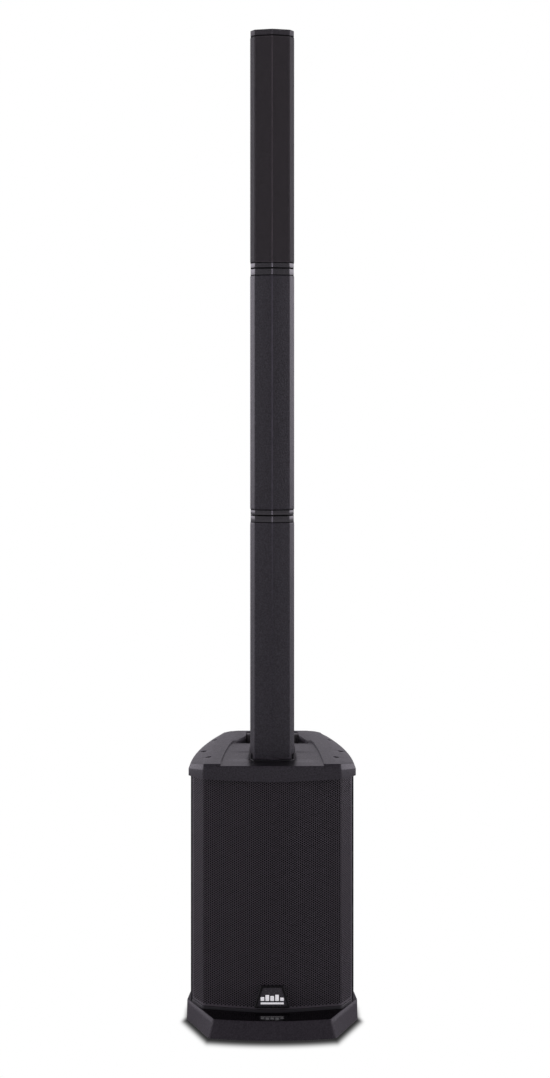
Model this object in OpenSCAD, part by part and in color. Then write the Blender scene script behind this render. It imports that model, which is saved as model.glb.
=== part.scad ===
// Column PA system: a subwoofer base with a plug-in loudspeaker column in three
// sections. X is across, the front faces -Y and Z is up. The origin is on the
// floor, at the middle of the footprint. Millimetres.

/* [Base] */
// Height of the foot's rim above the floor
foot_height = 38; // [30:1:44]
// How far the foot reaches in front of the cap's front edge
foot_front = 52; // [40:1:60]
// Rear edge of the foot, behind the cap's front edge
foot_rear = 372; // [366:1:380]
// Height of the low central channel of the cap
deck_z = 529; // [520:0.1:540]
// Half width of the cap's top outline at its widest
cap_half_width = 164.4; // [160:0.1:168]
// How much the cap's skirt hangs below its deck
skirt_height = 26.3; // [24:0.1:32]
// How far the shoulders stand above the channel
shoulder_height = 3.6; // [2:0.1:5]
// How far the cap's top falls from its crown to its side edges
crown_drop = 5.5; // [2:0.1:7]
// Wall thickness of the cabinet
cab_wall = 12; // [9:0.5:15]

/* [Grille] */
// Height of the grille's lower edge
grille_z0 = 44.2; // [42:0.1:60]
// Sheet thickness of the grille
grille_sheet = 1.2; // [0.8:0.1:2]
// Steepness of the bowed front, millimetres back per millimetre across
bow_slope = 0.225; // [0.1:0.005:0.3]
// Softness of the bow at the centre line
bow_soft = 40; // [20:1:80]

/* [Woofer] */
// Height of the woofer's axis
woofer_z = 298; // [290:1:305]
// Outer radius of the woofer's frame
woofer_radius = 128; // [110:1:130]
// Height of the bass port's axis
port_z = 100; // [95:1:110]
// Inner radius of the bass port
port_radius = 32; // [20:1:34]

/* [Column] */
// Width of the column
col_width = 89; // [80:1:100]
// Depth of the column from its front ridge to its back
col_depth = 100; // [90:1:110]
// Distance of the column's front ridge behind the cap's front edge
col_front = 41; // [38:1:50]
// Wall thickness of the tubes
col_wall = 3; // [2:0.1:4]
// Height of a section's lower end cap
low_cap_height = 10.5; // [8:0.5:14]
// Height of a section's upper end cap
up_cap_height = 13.5; // [8:0.5:16]
// Gap between two sections
joint_gap = 2.4; // [1:0.1:4]
// Top of the lower section
lower_top = 1021.1; // [900:0.1:1100]
// Top of the middle section
middle_top = 1518.8; // [1400:0.1:1600]
// Top of the whole column
total_height = 2000; // [1900:1:2100]
// Length of each section's plug
plug_len = 45; // [30:1:60]
// Number of small drivers in the top section
drivers = 6; // [4:1:6]
// Distance between the small drivers
driver_pitch = 74; // [72:0.5:75]

/* [Rear panel] */
// Half width of the rear panel
panel_half_width = 66; // [62:1:67]
// Lower edge of the rear panel
panel_z0 = 105; // [100:1:120]
// Upper edge of the rear panel
panel_z1 = 445; // [430:1:450]

/* [Hidden] */
$fn = 48;
// hairline gap between neighbouring pieces
eps = 0.05;

black = [0.05, 0.05, 0.055];
charcoal = [0.09, 0.09, 0.095];
dark_steel = [0.07, 0.065, 0.07];
silver = [0.75, 0.75, 0.77];
steel = [0.55, 0.55, 0.57];
rubber = [0.03, 0.03, 0.03];
brass = [0.8, 0.62, 0.25];
paper = [0.12, 0.11, 0.1];
green = [0.06, 0.22, 0.1];
dark_grey = [0.12, 0.12, 0.12];
screw_grey = [0.15, 0.15, 0.15];

// heights of the base
cap_z0 = deck_z - skirt_height;
crown_z = deck_z + shoulder_height;
band_z = cap_z0 + 23;
cab_z0 = foot_height + 0.1;
cab_z1 = cap_z0 - 0.2;
room_z0 = cab_z0 + cab_wall;
room_z1 = cab_z1 - cab_wall;
// heights of the column
bezel_top = deck_z + 1.7;
lower_z0 = bezel_top + eps;
middle_z0 = lower_top + joint_gap;
top_z0 = middle_top + joint_gap;
// front of the baffle and its thickness
baffle_y = 84;
baffle_thickness = 15;

// ---------------------------------------------------------------- helpers
function reversed(list) = [for (i = [len(list) - 1:-1:0]) list[i]];
function mirrored(path) = [for (p = reversed(path)) [-p.x, p.y]];
// whole outline from its right half, listed front to back
function both(half) = concat(half, mirrored(half));

function unit(v) = v / norm(v);
// normal on the right-hand side of the line from start to end
function right_normal(start, end) = unit([end.y - start.y, start.x - end.x]);
function mitre(before, corner, after, d) =
  let (n1 = right_normal(before, corner), n2 = right_normal(corner, after))
  corner + d * (n1 + n2) / (1 + n1 * n2);
// closed outline, counter-clockwise, moved inwards by d
function inset(outline, d) =
  let (n = len(outline))
  [for (i = [0:n - 1])
    mitre(outline[(i + n - 1) % n], outline[i], outline[(i + 1) % n], -d)];
// open path running left to right along the front, moved forwards by d
function shifted(path, d) =
  let (last = len(path) - 1)
  [for (i = [0:last])
    i == 0 ? path[0] + d * right_normal(path[0], path[1])
    : i == last ? path[i] + d * right_normal(path[i - 1], path[i])
    : mitre(path[i - 1], path[i], path[i + 1], d)];
// closed strip between two offsets of a path
function band(path, d1, d2) = concat(shifted(path, d1), reversed(shifted(path, d2)));
// [x, z] places on a circle about [x, z]
function ring_places(radius, angles, x, z) =
  [for (a = angles) [x + radius * cos(a), z + radius * sin(a)]];

// the layout has y = 0 at the cap's front edge; this centres the footprint
module placed() {
  translate([0, (foot_front - foot_rear) / 2, 0]) children();
}

// children at each [x, y] place, raised to z
module at(places, z = 0) {
  for (p = places) translate([p.x, p.y, z]) children();
}

module prism(outline, z0, z1) {
  translate([0, 0, z0]) linear_extrude(z1 - z0) polygon(outline);
}

module rod(start, end, radius, fn = 24) {
  v = end - start;
  length = norm(v);
  translate(start) rotate([0, acos(v.z / length), atan2(v.y, v.x)])
    cylinder(r = radius, h = length, $fn = fn);
}

module cable(path, radius) {
  for (i = [0:len(path) - 2]) rod(path[i], path[i + 1], radius);
  for (i = [1:len(path) - 2]) translate(path[i]) sphere(r = radius * 1.15, $fn = 24);
}

// cylinder along +Y about the [x, z] place, from y0 to y1
module y_rod(place, y0, y1, radius, end_radius = undef, fn = 48) {
  translate([place[0], y0, place[1]]) rotate([-90, 0, 0])
    cylinder(
      r1 = radius,
      r2 = is_undef(end_radius) ? radius : end_radius,
      h = y1 - y0,
      $fn = fn
    );
}

// box centred on the [x, z] place, from y0 to y1
module block(place, width, height, y0, y1) {
  translate([place[0] - width / 2, y0, place[1] - height / 2])
    cube([width, y1 - y0, height]);
}

// piece turned about the +Y axis at height z: points are [radius, y]
module turned(z, profile, y = 0, fn = 64) {
  translate([0, y, z]) rotate([-90, 0, 0]) rotate_extrude($fn = fn) polygon(profile);
}

// ---------------------------------------------------------------- outlines
// the gently curved sides of cap, cabinet and foot
function side_x(y) = cap_half_width - 0.00045 * y * y;
function side_points(outset, y0, y1, steps) =
  [for (i = [0:steps]) let (y = y0 + (y1 - y0) * i / steps) [side_x(y) + outset, y]];

// cap, top edge and skirt edge
cap_top = both(concat([[136, 0]], side_points(0, 35, 318, 8),
  [[106, 336], [93, 347], [75, 355]]));
cap_skirt = both(concat([[137.5, -4.5]], side_points(3.8, 34, 318, 8),
  [[110, 340], [94.5, 353.5], [77, 364.5]]));
// flat crown of the cap, inside its sloping sides
cap_crown = both([[136, 0], [124, 60], [120, 240], [104, 334], [92, 345], [75, 353]]);
// channel between the shoulders
channel = both(concat([[103.6, -12]],
  [for (y = [0:30:270]) [102.8 - 0.02 * y - 0.00022 * y * y, y]]));

// cabinet and the room inside it
cab_rear_corner = [[108, 338.5], [93.5, 350.8], [75.5, 362]];
cab = both(concat(side_points(3.4, 75, 318, 8), cab_rear_corner));
cab_room = inset(both(concat(side_points(2, 55, 318, 8), cab_rear_corner)), cab_wall);

// right half of the foot's curved front edge, y at the centre line
function foot_edge(half_width, y) =
  [for (i = [1:8]) let (x = half_width * i / 8) [x, y + 12.7 * pow(x / half_width, 2)]];
foot_low = both(concat(foot_edge(125.4, -foot_front), [[172.6, 68]],
  side_points(14.4, 131, 315, 5), [[119, 346], [102, 361], [82, foot_rear]]));
foot_top = both(concat(foot_edge(115.5, -foot_front + 6.6), [[172.8, 86]],
  side_points(11.8, 131, 315, 5), [[116, 344], [100, 358.5], [80, foot_rear - 3]]));

// grille, outer surface, left to right
function bow(x) = bow_slope * (sqrt(x * x + bow_soft * bow_soft) - bow_soft);
grille_y = 5;
grille_right = concat([for (i = [1:10]) let (x = 138 * i / 10) [x, grille_y + bow(x)]],
  [[161.2, 71]]);
grille_path = concat(mirrored(grille_right), [[0, grille_y + bow(0)]], grille_right);

// column: front ridge, facet corner, chamfer, side, rear corner
col_half = col_width / 2;
col_back = col_front + col_depth;
column = concat([[0, col_front]], both([
  [col_width * 0.4, col_front + 9],
  [col_half, col_front + 23],
  [col_half, col_back - 13],
  [col_half - 9, col_back]
]));
plug_outer = inset(column, 8);
plug_inner = inset(column, 12);
socket_inner = inset(column, 7.5);

// carrying pocket
pocket = both([[79, 227], [57, 302], [56, 340], [50, 350]]);

// ---------------------------------------------------------------- places
// [x, y, how far the cap's surface is below its crown there]
shoulder_screws = [
  for (side = [-1, 1], p = [[129, 71, 0.8], [141.5, 142, 3.2], [123.4, 255.5, 1.7]])
    [side * p.x, p.y, p.z]
];
// [x, y]
foot_pads = [for (side = [-1, 1], p = [[120, 18], [88, 318]]) [side * p.x, p.y]];
base_screws = [[-120, 110], [0, 110], [120, 110], [-62, 320], [62, 320]];
pins_xy = [for (x = [-15, 15], y = [78, 104]) [x, y]];
// [x, z]
woofer_screws_xz = ring_places(120.5, [22.5:45:359], 0, woofer_z);

// ---------------------------------------------------------------- foot
module foot_tray() placed() color(black)
difference() {
  hull() {
    prism(foot_low, 2, 3);
    prism(foot_top, foot_height - 1, foot_height);
  }
  // hollow underside, leaving bosses over the pads and crossing ribs
  difference() {
    prism(inset(foot_low, 12), 1, 27);
    at(foot_pads) cylinder(r = 19, h = 30);
    for (y = [60, 200]) translate([-180, y, 0]) cube([360, 4, 40]);
    for (x = [-62, 58]) translate([x, -60, 0]) cube([4, 440, 40]);
  }
  at(foot_pads, 1) cylinder(r = 14.1, h = 4);
  at(base_screws) {
    cylinder(r = 7, h = 27);
    cylinder(r = 3.1, h = 50);
  }
}

module rubber_feet() placed() color(rubber)
at(foot_pads) difference() {
  cylinder(r = 14, h = 4.9);
  translate([0, 0, -1]) cylinder(r = 5, h = 3);
}

module foot_screws() placed() color(steel)
at(base_screws) difference() {
  union() {
    translate([0, 0, 22.9]) cylinder(r = 6, h = 4);
    translate([0, 0, 26]) cylinder(r = 3, h = 22);
  }
  translate([0, 0, 22]) cylinder(r = 2.6, h = 3.4, $fn = 6);
}

// strip on the foot, under the grille's lower edge
module kerb_trim() placed() color(black)
intersection() {
  prism(band(grille_path, 2.2, -5), foot_height + eps, grille_z0 - 0.2);
  translate([-161.9, -20, 0]) cube([323.8, 200, 60]);
}

// ---------------------------------------------------------------- cabinet
// rear panel centre and screws, [x, z]
panel_centre = [0, (panel_z0 + panel_z1) / 2];
panel_height = panel_z1 - panel_z0;
panel_screws_xz = [
  for (side = [-1, 1], i = [0:4])
    [side * (panel_half_width - 3), panel_z0 + 10 + i * (panel_height - 20) / 4]
];

module cabinet_shell() placed() color(charcoal)
difference() {
  prism(cab, cab_z0, cab_z1);
  prism(cab_room, room_z0, room_z1);
  // front opening, with a tongue left under the cap, notched at both ends
  opening_y = 50;
  opening_depth = baffle_y - opening_y + 0.05;
  translate([-162.1, opening_y, cab_z0 - 1])
    cube([324.2, opening_depth, room_z1 - cab_z0 + 1]);
  for (side = [-1, 1]) translate([side * 151.6 - 11.1, opening_y, 400])
    cube([22.2, opening_depth, 200]);
  // rear opening and the panel's recess
  block(panel_centre, 2 * panel_half_width - 12, panel_height - 14, 340, 380);
  block(panel_centre, 2 * panel_half_width + 1, panel_height + 1, 357, 377);
  // room for the column socket and the carrying pocket
  prism(inset(column, -4), 480, 520);
  prism(inset(pocket, -4), 458, 520);
  // screw holes
  at(shoulder_screws, 470) cylinder(r = 2.6, h = 60);
  at(base_screws, 30) cylinder(r = 3.1, h = 19);
  for (p = panel_screws_xz) y_rod(p, 345, 358, 1.6, fn = 24);
}

module front_baffle() placed() color(charcoal)
difference() {
  translate([-147, baffle_y + 0.1, room_z0 + 0.2])
    cube([294, baffle_thickness, room_z1 - room_z0 - 0.4]);
  y_rod([0, woofer_z], 80, 105, 113, fn = 96);
  y_rod([0, port_z], 80, 105, port_radius + 3.2);
  translate([-57, 80, 462]) cube([114, 40, 60]);
  for (p = woofer_screws_xz) y_rod(p, 80, 98, 2.1, fn = 24);
}

module port_tube() placed() color(black)
turned(port_z, [
  [port_radius + 10, 80], [port_radius + 10, 83.9], [port_radius + 3, 83.9],
  [port_radius + 3, 200], [port_radius, 200], [port_radius, 92],
  [port_radius + 1.5, 86], [port_radius + 5, 82]
]);

module front_grille() placed() color(dark_steel)
prism(band(grille_path, 0, -grille_sheet), grille_z0, cap_z0 - 0.4);

module grille_foam() placed() color([0.02, 0.02, 0.02])
prism(band(grille_path, -grille_sheet - 0.5, -grille_sheet - 5.5), 46, cap_z0 - 3);

// ---------------------------------------------------------------- badge
module trapezium(half_bottom, half_top, z0, z1, y0, y1) {
  translate([0, y1, 0]) rotate([90, 0, 0]) linear_extrude(y1 - y0)
    polygon([[-half_bottom, z0], [half_bottom, z0], [half_top, z1], [-half_top, z1]]);
}

module badge_frame() placed() color(black)
difference() {
  trapezium(35.4, 23, 48, 92, 0, 4.8);
  trapezium(31.2, 18.6, 50.4, 88.6, -1, 6);
}

module badge_plate() placed() color([0.03, 0.03, 0.035])
trapezium(31, 18.4, 50.6, 88.4, 1.6, 4.6);

// five upright bars over one long bar
bar_heights = [7.5, 11.6, 9.6, 12, 6.4];
module badge_mark() placed() color(silver)
union() {
  for (i = [-2:2])
    translate([i * 9.7 - 3.6, 0.8, 62.4]) cube([7.2, 0.75, bar_heights[i + 2]]);
  translate([-23, 0.8, 55.6]) cube([46, 0.75, 3.6]);
}

// ---------------------------------------------------------------- cap
module top_cap() placed() color(charcoal)
difference() {
  union() {
    prism(cap_skirt, cap_z0, band_z - 9);
    hull() {
      prism(cap_skirt, band_z - 9.5, band_z - 9);
      prism([[-131, -4.5], [131, -4.5], [131, 60], [-131, 60]], band_z - 0.5, band_z);
      prism(cap_top, crown_z - crown_drop - 0.5, crown_z - crown_drop);
      prism(cap_crown, crown_z - 0.5, crown_z);
    }
    // lower edge of the front face, dropping to the middle
    translate([0, 0.5, 0]) rotate([90, 0, 0]) linear_extrude(5)
      polygon([
        [-131, cap_z0 + 2], [-131, cap_z0], [0, cap_z0 - 5.6],
        [131, cap_z0], [131, cap_z0 + 2]
      ]);
  }
  // channel, ramping up to the crown at its rear
  intersection() {
    prism(channel, deck_z - 1, deck_z + 20);
    translate([-110, 0, 0]) rotate([90, 0, 90]) linear_extrude(220)
      polygon([
        [-12, deck_z], [222, deck_z], [246, crown_z + 0.1],
        [246, deck_z + 15], [-12, deck_z + 15]
      ]);
  }
  // hollow underside, deeper in the middle
  prism(inset(cap_skirt, 5), cap_z0 - 10, deck_z - 8);
  intersection() {
    prism(inset(cap_skirt, 8), cap_z0 - 10, deck_z - 4);
    translate([-112, -20, 0]) cube([224, 400, 600]);
  }
  prism(inset(column, -0.25), 480, deck_z + 5);
  prism(pocket, 480, deck_z + 9);
  // screw holes and the seats of their heads
  for (p = shoulder_screws) translate([p.x, p.y, 0]) {
    translate([0, 0, 480]) cylinder(r = 2.6, h = 80);
    translate([0, 0, crown_z - p.z - 3.6]) cylinder(r = 6, h = 20);
  }
}

module cap_screws() placed() color(dark_grey)
for (p = shoulder_screws) let (head_z = crown_z - p.z - 3.55)
translate([p.x, p.y, 0]) difference() {
  union() {
    translate([0, 0, head_z]) cylinder(r = 4.8, h = 2.2);
    translate([0, 0, 492]) cylinder(r = 2.5, h = head_z - 491.9);
  }
  translate([0, 0, head_z + 0.8]) cylinder(r = 2, h = 4, $fn = 6);
}

// ---------------------------------------------------------------- carrying handle
// a stub on each end of the grip sits in the tub's walls
module grip_stubs(outer_x, radius) {
  for (side = [-1, 1])
    rod([side * 50, 322.5, 517], [side * outer_x, 322.5, 517], radius, 32);
}

module handle_tub() placed() color(black)
difference() {
  prism(inset(pocket, -3), 462, deck_z - 4.1);
  prism(pocket, 465, deck_z + 5);
  grip_stubs(62, 5.1);
}

module handle_grip() placed() color([0.16, 0.15, 0.155])
union() {
  hull() for (y = [314, 331], z = [511, 526]) rod([-55.8, y, z], [55.8, y, z], 6, 32);
  grip_stubs(58.6, 5);
}

// ---------------------------------------------------------------- column socket
module socket_bezel() placed() color(black)
difference() {
  union() {
    prism(inset(column, -2.8), deck_z + 0.02, bezel_top);
    // raised collar, open at the front
    intersection() {
      prism(inset(column, -2.8), deck_z + 1, deck_z + 13);
      translate([-60, col_front + 16, 0]) cube([120, 120, 700]);
    }
  }
  prism(socket_inner, deck_z - 1, deck_z + 5);
  prism(inset(column, -0.7), bezel_top, deck_z + 20);
}

module column_socket() placed() color(black)
difference() {
  union() {
    prism(column, 474, deck_z);
    prism(inset(column, -3), 474, 502);
    prism(inset(column, -8), 514, deck_z - 4.2);
  }
  prism(socket_inner, 482, deck_z + 5);
  at(pins_xy, 460) cylinder(r = 3.1, h = 40, $fn = 24);
}

// round contacts, bored from above
module receptacles(z0, z1) {
  at(pins_xy) difference() {
    translate([0, 0, z0]) cylinder(r = 3, h = z1 - z0, $fn = 24);
    translate([0, 0, z1 - 9]) cylinder(r = 1.7, h = 10, $fn = 24);
  }
}

module socket_contacts() placed() color(brass) receptacles(468, 483);

// ---------------------------------------------------------------- woofer
module woofer_basket() placed() color([0.1, 0.1, 0.1])
difference() {
  turned(woofer_z, [
    [112.5, 79], [woofer_radius, 79], [woofer_radius, 84], [112.5, 84],
    [111, 100], [72, 150], [60, 158], [60, 164], [46, 164], [46, 155],
    [68, 145], [106, 97], [108, 90], [108, 84], [108, 81.9], [112.5, 81.9]
  ], fn = 96);
  // windows between the arms
  for (a = [0:60:359]) translate([0, 0, woofer_z]) rotate([0, a, 0])
    translate([-22, 104, 20]) cube([44, 38, 130]);
  for (p = woofer_screws_xz) y_rod(p, 70, 90, 2.6, fn = 24);
}

module woofer_magnet() placed() color([0.2, 0.2, 0.21])
turned(woofer_z, [
  [30, 164.1], [64, 164.1], [64, 172], [75, 172], [75, 194], [64, 194],
  [64, 202], [9, 202], [9, 163], [26, 163], [26, 194], [30, 194]
], fn = 96);

module woofer_surround() placed() color(rubber)
turned(woofer_z, [
  [96.5, 82.2], [99, 82.2], [100.5, 79.2], [104, 77.6], [107.5, 79.2],
  [109, 80.6], [112, 80.6], [112, 81.8], [107.9, 81.8], [106.5, 80],
  [104, 78.9], [101.4, 80], [99.8, 83.4], [96.5, 83.4]
], fn = 96);

module woofer_spider() placed() color([0.55, 0.42, 0.25])
turned(woofer_z, [
  [29, 139], [34, 139], [38, 141], [42, 139], [46, 141], [50, 139],
  [54, 141], [58, 139.6], [64, 139.6], [64, 140.4], [58, 140.4], [54, 141.8],
  [50, 139.8], [46, 141.8], [42, 139.8], [38, 141.8], [34, 139.8], [29, 139.8]
], fn = 96);

module woofer_screws() placed() color(screw_grey)
for (p = woofer_screws_xz) difference() {
  union() {
    y_rod(p, 76.4, 78.95, 4, fn = 24);
    y_rod(p, 78, 97, 2, fn = 24);
  }
  y_rod(p, 75, 78, 1.6, fn = 6);
}

module woofer_cone() placed() color(paper)
turned(woofer_z, [
  [96, 83.6], [98.6, 83.6], [98.6, 84.8], [96.4, 85.2],
  [28.4, 134.5], [28.4, 136], [27.2, 136], [27.2, 133.6]
], fn = 96);

module woofer_dust_cap() placed() color([0.06, 0.06, 0.06])
turned(woofer_z, [
  [0, 106], [10, 106.6], [20, 108.4], [30, 111.4], [38, 115.4], [44, 119.6],
  [44.4, 121], [38, 117], [30, 112.9], [20, 109.8], [10, 108], [0, 107.4]
]);

module woofer_coil() placed() color(brass)
turned(woofer_z, [[27.6, 136.2], [28.8, 136.2], [28.8, 188], [27.6, 188]]);

// ---------------------------------------------------------------- electronics
// outer face of the rear panel, and the back of the parts seated on it
panel_y = 359.7;
flange_y = panel_y + eps;
// heights and [x, z] places on the panel
knob_x = [-42, 0, 42];
button_x = [-21, 21];
knob_z = 415;
led_z = 393;
button_z = 370;
jacks_xz = [[-32, 325], [32, 325]];
link_xz = [0, 270];
inlet_xz = [-24, 150];
switch_xz = [30, 150];

module panel_hole(place, radius, fn = 48) {
  y_rod(place, 350, 365, radius, fn = fn);
}

module flange(place, width, height) {
  block(place, width, height, flange_y, flange_y + 1.8);
}

module amp_panel() placed() color([0.08, 0.08, 0.085])
difference() {
  block(panel_centre, 2 * panel_half_width, panel_height, 357.1, panel_y);
  for (x = knob_x) {
    panel_hole([x, knob_z], 3.6);
    panel_hole([x, led_z], 1.7, fn = 24);
  }
  for (x = button_x) panel_hole([x, button_z], 4.8);
  for (p = jacks_xz) panel_hole(p, 12.2);
  panel_hole(link_xz, 11.2);
  block(inlet_xz, 28.4, 24.4, 350, 370);
  block(switch_xz, 16.4, 24.4, 350, 370);
  for (p = panel_screws_xz) panel_hole(p, 1.8, fn = 24);
}

module amp_heatsink() placed() color(steel)
union() {
  heatsink_z = 211;
  block([0, heatsink_z], 100, 62, 352, 357);
  // fins
  for (i = [0:10]) block([-49 + i * 9.8, heatsink_z], 2, 62, 324, 353);
}

module amp_board() placed() color(green)
union() {
  // board and its corner holes
  difference() {
    block([0, 345], 112, 174, 328, 329.8);
    for (x = [-50, 50], z = [264, 426]) y_rod([x, z], 320, 340, 1.6, fn = 24);
  }
  // bodies behind the knobs and the buttons
  for (x = knob_x) difference() {
    block([x, knob_z], 14, 14, 329.7, 341.7);
    y_rod([x, knob_z], 331, 345, 3.3);
  }
  for (x = button_x) block([x, button_z], 8, 8, 329.7, 339.7);
  // square and round parts on the inner face
  for (i = [0:3]) block([-33 + i * 24, 292], 14, 14, 314, 328.1);
  for (i = [-1:1]) y_rod([i * 30, 348], 308, 328.1, 8);
}

// board on four posts, with two blocks and two round parts
module power_supply() placed() color([0.35, 0.33, 0.2])
union() {
  parts_z = 55.7;
  translate([-60, 262, 54]) cube([120, 78, 1.8]);
  translate([-45, 275, parts_z]) cube([42, 36, 30]);
  translate([8, 272, parts_z]) cube([22, 52, 24]);
  at([[44, 284], [44, 310]], parts_z) cylinder(r = 9, h = 34);
  for (x = [-56, 56], y = [266, 336]) translate([x, y, room_z0 + 0.1])
    cylinder(r = 2.5, h = 4);
}

module panel_screws() placed() color(screw_grey)
for (p = panel_screws_xz) difference() {
  union() {
    y_rod(p, flange_y, 361.6, 2.9, fn = 24);
    y_rod(p, 347, 360, 1.5, fn = 24);
  }
  y_rod(p, 360.6, 363, 1.2, fn = 6);
}

contact_angles = [90, 210, 330];

// flange, barrel, plug bore and three sockets
module combo_jack(place) {
  difference() {
    union() {
      flange(place, 26, 31);
      y_rod(place, 336, 360, 12);
    }
    y_rod(place, 340, 365, 3.2, fn = 32);
    y_rod(place, 352, 365, 10.4);
    for (p = ring_places(6.6, contact_angles, place[0], place[1]))
      y_rod(p, 342, 365, 1.5, fn = 24);
  }
}

module input_jacks() placed() color(black) for (p = jacks_xz) combo_jack(p);

// flange and barrel, with three pins standing in the bore
module link_jack() placed() color(black)
difference() {
  union() {
    flange(link_xz, 26, 31);
    y_rod(link_xz, 338, 360, 11);
  }
  difference() {
    y_rod(link_xz, 346, 365, 9.4);
    for (p = ring_places(5, contact_angles, link_xz[0], link_xz[1]))
      y_rod(p, 345, 359, 1.2, fn = 24);
  }
}

// inlet with three blades, and the rocker's housing, on one flange
module mains_inlet() placed() color(black)
difference() {
  union() {
    flange([0, 150], 84, 32);
    block(inlet_xz, 28, 24, 336, 360);
    block(switch_xz, 16, 24, 344, 360);
  }
  block(switch_xz, 14.4, 22, 340, 370);
  rocker_pin(1.75, 20);
  difference() {
    block(inlet_xz, 24, 19, 342, 372);
    for (i = [-1:1]) translate([-25 + i * 7, 340, i == 0 ? 151 : 147]) cube([2, 16, 4]);
  }
}

module status_leds() placed() color([0.1, 0.6, 0.2])
for (x = knob_x) union() {
  y_rod([x, led_z], 350, 360.4, 1.5, fn = 24);
  translate([x, 360.4, led_z]) sphere(r = 1.5, $fn = 24);
}

// a cable end on the +X side lies this much further back than its twin
function nudge(side) = (side + 1) * 0.001;

module speaker_cables() placed() color([0.1, 0.02, 0.02])
union() {
  for (side = [-1, 1]) {
    // board to woofer
    cable([
      [side * 20, 312, 272], [side * 20, 300, 262],
      [side * 72, 236, 240], [side * 84, 150, 236]
    ], 1.8);
    // board to column socket
    cable([
      [side * 8, 316, 400], [side * 8, 300, 420],
      [side * 15, 215, 452], [side * 15, 104 + nudge(side), 466]
    ], 1.8);
  }
}

// ---------------------------------------------------------------- controls
// tapered knob with skirt, shaft, grip ribs and a pointer slot
module knob(x) {
  centre = [x, knob_z];
  difference() {
    union() {
      y_rod(centre, 360.2, 370.2, 9, end_radius = 8);
      y_rod(centre, 360.2, 362, 10);
      y_rod(centre, 333, 361, 3);
      for (p = ring_places(8.7, [0:30:359], x, knob_z)) y_rod(p, 362, 369, 0.9, fn = 16);
    }
    translate([x - 0.7, 369.4, knob_z]) cube([1.4, 2, 9.2]);
  }
}

module knob_mic() placed() color(black) knob(knob_x[0]);
module knob_line() placed() color(black) knob(knob_x[1]);
module knob_sub() placed() color(black) knob(knob_x[2]);

module push_button(x) {
  union() {
    y_rod([x, button_z], 342.2, 362.6, 2.5);
    y_rod([x, button_z], 356, 363, 4.5);
  }
}

module button_pair() placed() color([0.1, 0.15, 0.3]) push_button(button_x[0]);
module button_mode() placed() color([0.25, 0.25, 0.26]) push_button(button_x[1]);

// rocker: two slopes meeting over the pivot, turned to its off position
rocker_pivot = [switch_xz[0], 355, switch_xz[1]];
module power_rocker() placed() color([0.02, 0.02, 0.02])
union() {
  rocker_body();
  rocker_pin(1.6, 15.2);
}

module rocker_body() {
  translate(rocker_pivot) rotate([7, 0, 0]) rotate([0, -90, 0])
    translate([0, 0, -7]) linear_extrude(14)
      polygon([[-9.5, 0.5], [-9, 6], [0, 5], [9, 6], [9.5, 0.5], [4, -6], [-4, -6]]);
}

module rocker_pin(radius, length) {
  translate(rocker_pivot - [length / 2, 0, 0]) rotate([0, 90, 0])
    cylinder(r = radius, h = length);
}

// ---------------------------------------------------------------- column
module section_tube(z0, z1, raise = low_cap_height + eps) {
  difference() {
    prism(column, z0 + raise, z1 - up_cap_height - eps);
    prism(inset(column, col_wall), z0, z1);
  }
}

// upper end cap: plate, sleeve inside the tube, socket for the next plug
module upper_cap(z1) {
  plate_z = z1 - up_cap_height;
  difference() {
    union() {
      prism(inset(column, 0.9), plate_z + 1.3, z1);
      prism(inset(column, 2.4), plate_z, plate_z + 1.5);
      prism(inset(column, col_wall + 0.2), z1 - plug_len - 8, plate_z + 0.5);
    }
    prism(socket_inner, z1 - plug_len - 3, z1 + 5);
    at(pins_xy, z1 - plug_len - 20) cylinder(r = 3.1, h = 30, $fn = 24);
  }
}

// visible plate of a lower end cap, with a shadow gap on top
module lower_plate(z0) {
  prism(inset(column, 0.9), z0, z0 + low_cap_height - 1.3);
  prism(inset(column, 2.4), z0 + low_cap_height - 1.5, z0 + low_cap_height);
}

module pin_bores(z0) {
  at(pins_xy, z0 - plug_len - 5) cylinder(r = 1.6, h = 20, $fn = 24);
}

// lower end cap: plate, stub inside the tube, hollow plug below
module lower_cap(z0, plate = true) {
  difference() {
    union() {
      if (plate) lower_plate(z0);
      prism(inset(column, col_wall + 0.2), plate ? z0 + low_cap_height - 0.5 : z0,
        z0 + low_cap_height + 12);
      prism(plug_outer, z0 - plug_len, z0 + 0.5);
    }
    prism(plug_inner, z0 - plug_len + 5, z0 + 40);
    pin_bores(z0);
  }
}

module pins(z0) {
  at(pins_xy, z0 - plug_len - 3.4) cylinder(r = 1.5, h = 12, $fn = 24);
}

// straight wires from the pins up to wire_top
module pin_wires(z0, wire_top) {
  for (p = pins_xy) rod([p.x, p.y, z0 - plug_len + 8], [p.x, p.y, wire_top], 1.1, 16);
}

// pins below, receptacles above and the loom between them
module section_wiring(z0, z1) {
  wire_top = z1 - plug_len - 14;
  union() {
    pins(z0);
    pin_wires(z0, wire_top);
  }
  receptacles(wire_top, z1 - plug_len - 2);
}

module lower_tube() placed() color(charcoal) section_tube(lower_z0, lower_top, raise = 0);
module lower_top_cap() placed() color(black) upper_cap(lower_top);
module lower_bottom_cap() placed() color(black) lower_cap(lower_z0, plate = false);
module lower_wiring() placed() color(brass) section_wiring(lower_z0, lower_top);
module middle_tube() placed() color(charcoal) section_tube(middle_z0, middle_top);
module middle_top_cap() placed() color(black) upper_cap(middle_top);
module middle_bottom_cap() placed() color(black) lower_cap(middle_z0);
module middle_wiring() placed() color(brass) section_wiring(middle_z0, middle_top);

// ---------------------------------------------------------------- array section
array_z0 = top_z0 + low_cap_height + eps;
array_z1 = total_height - up_cap_height - eps;
driver_z = [
  for (i = [0:drivers - 1])
    (array_z0 + array_z1) / 2 + (i - (drivers - 1) / 2) * driver_pitch
];
// front face of the board that carries the drivers
board_y = col_front + 22;
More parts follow.
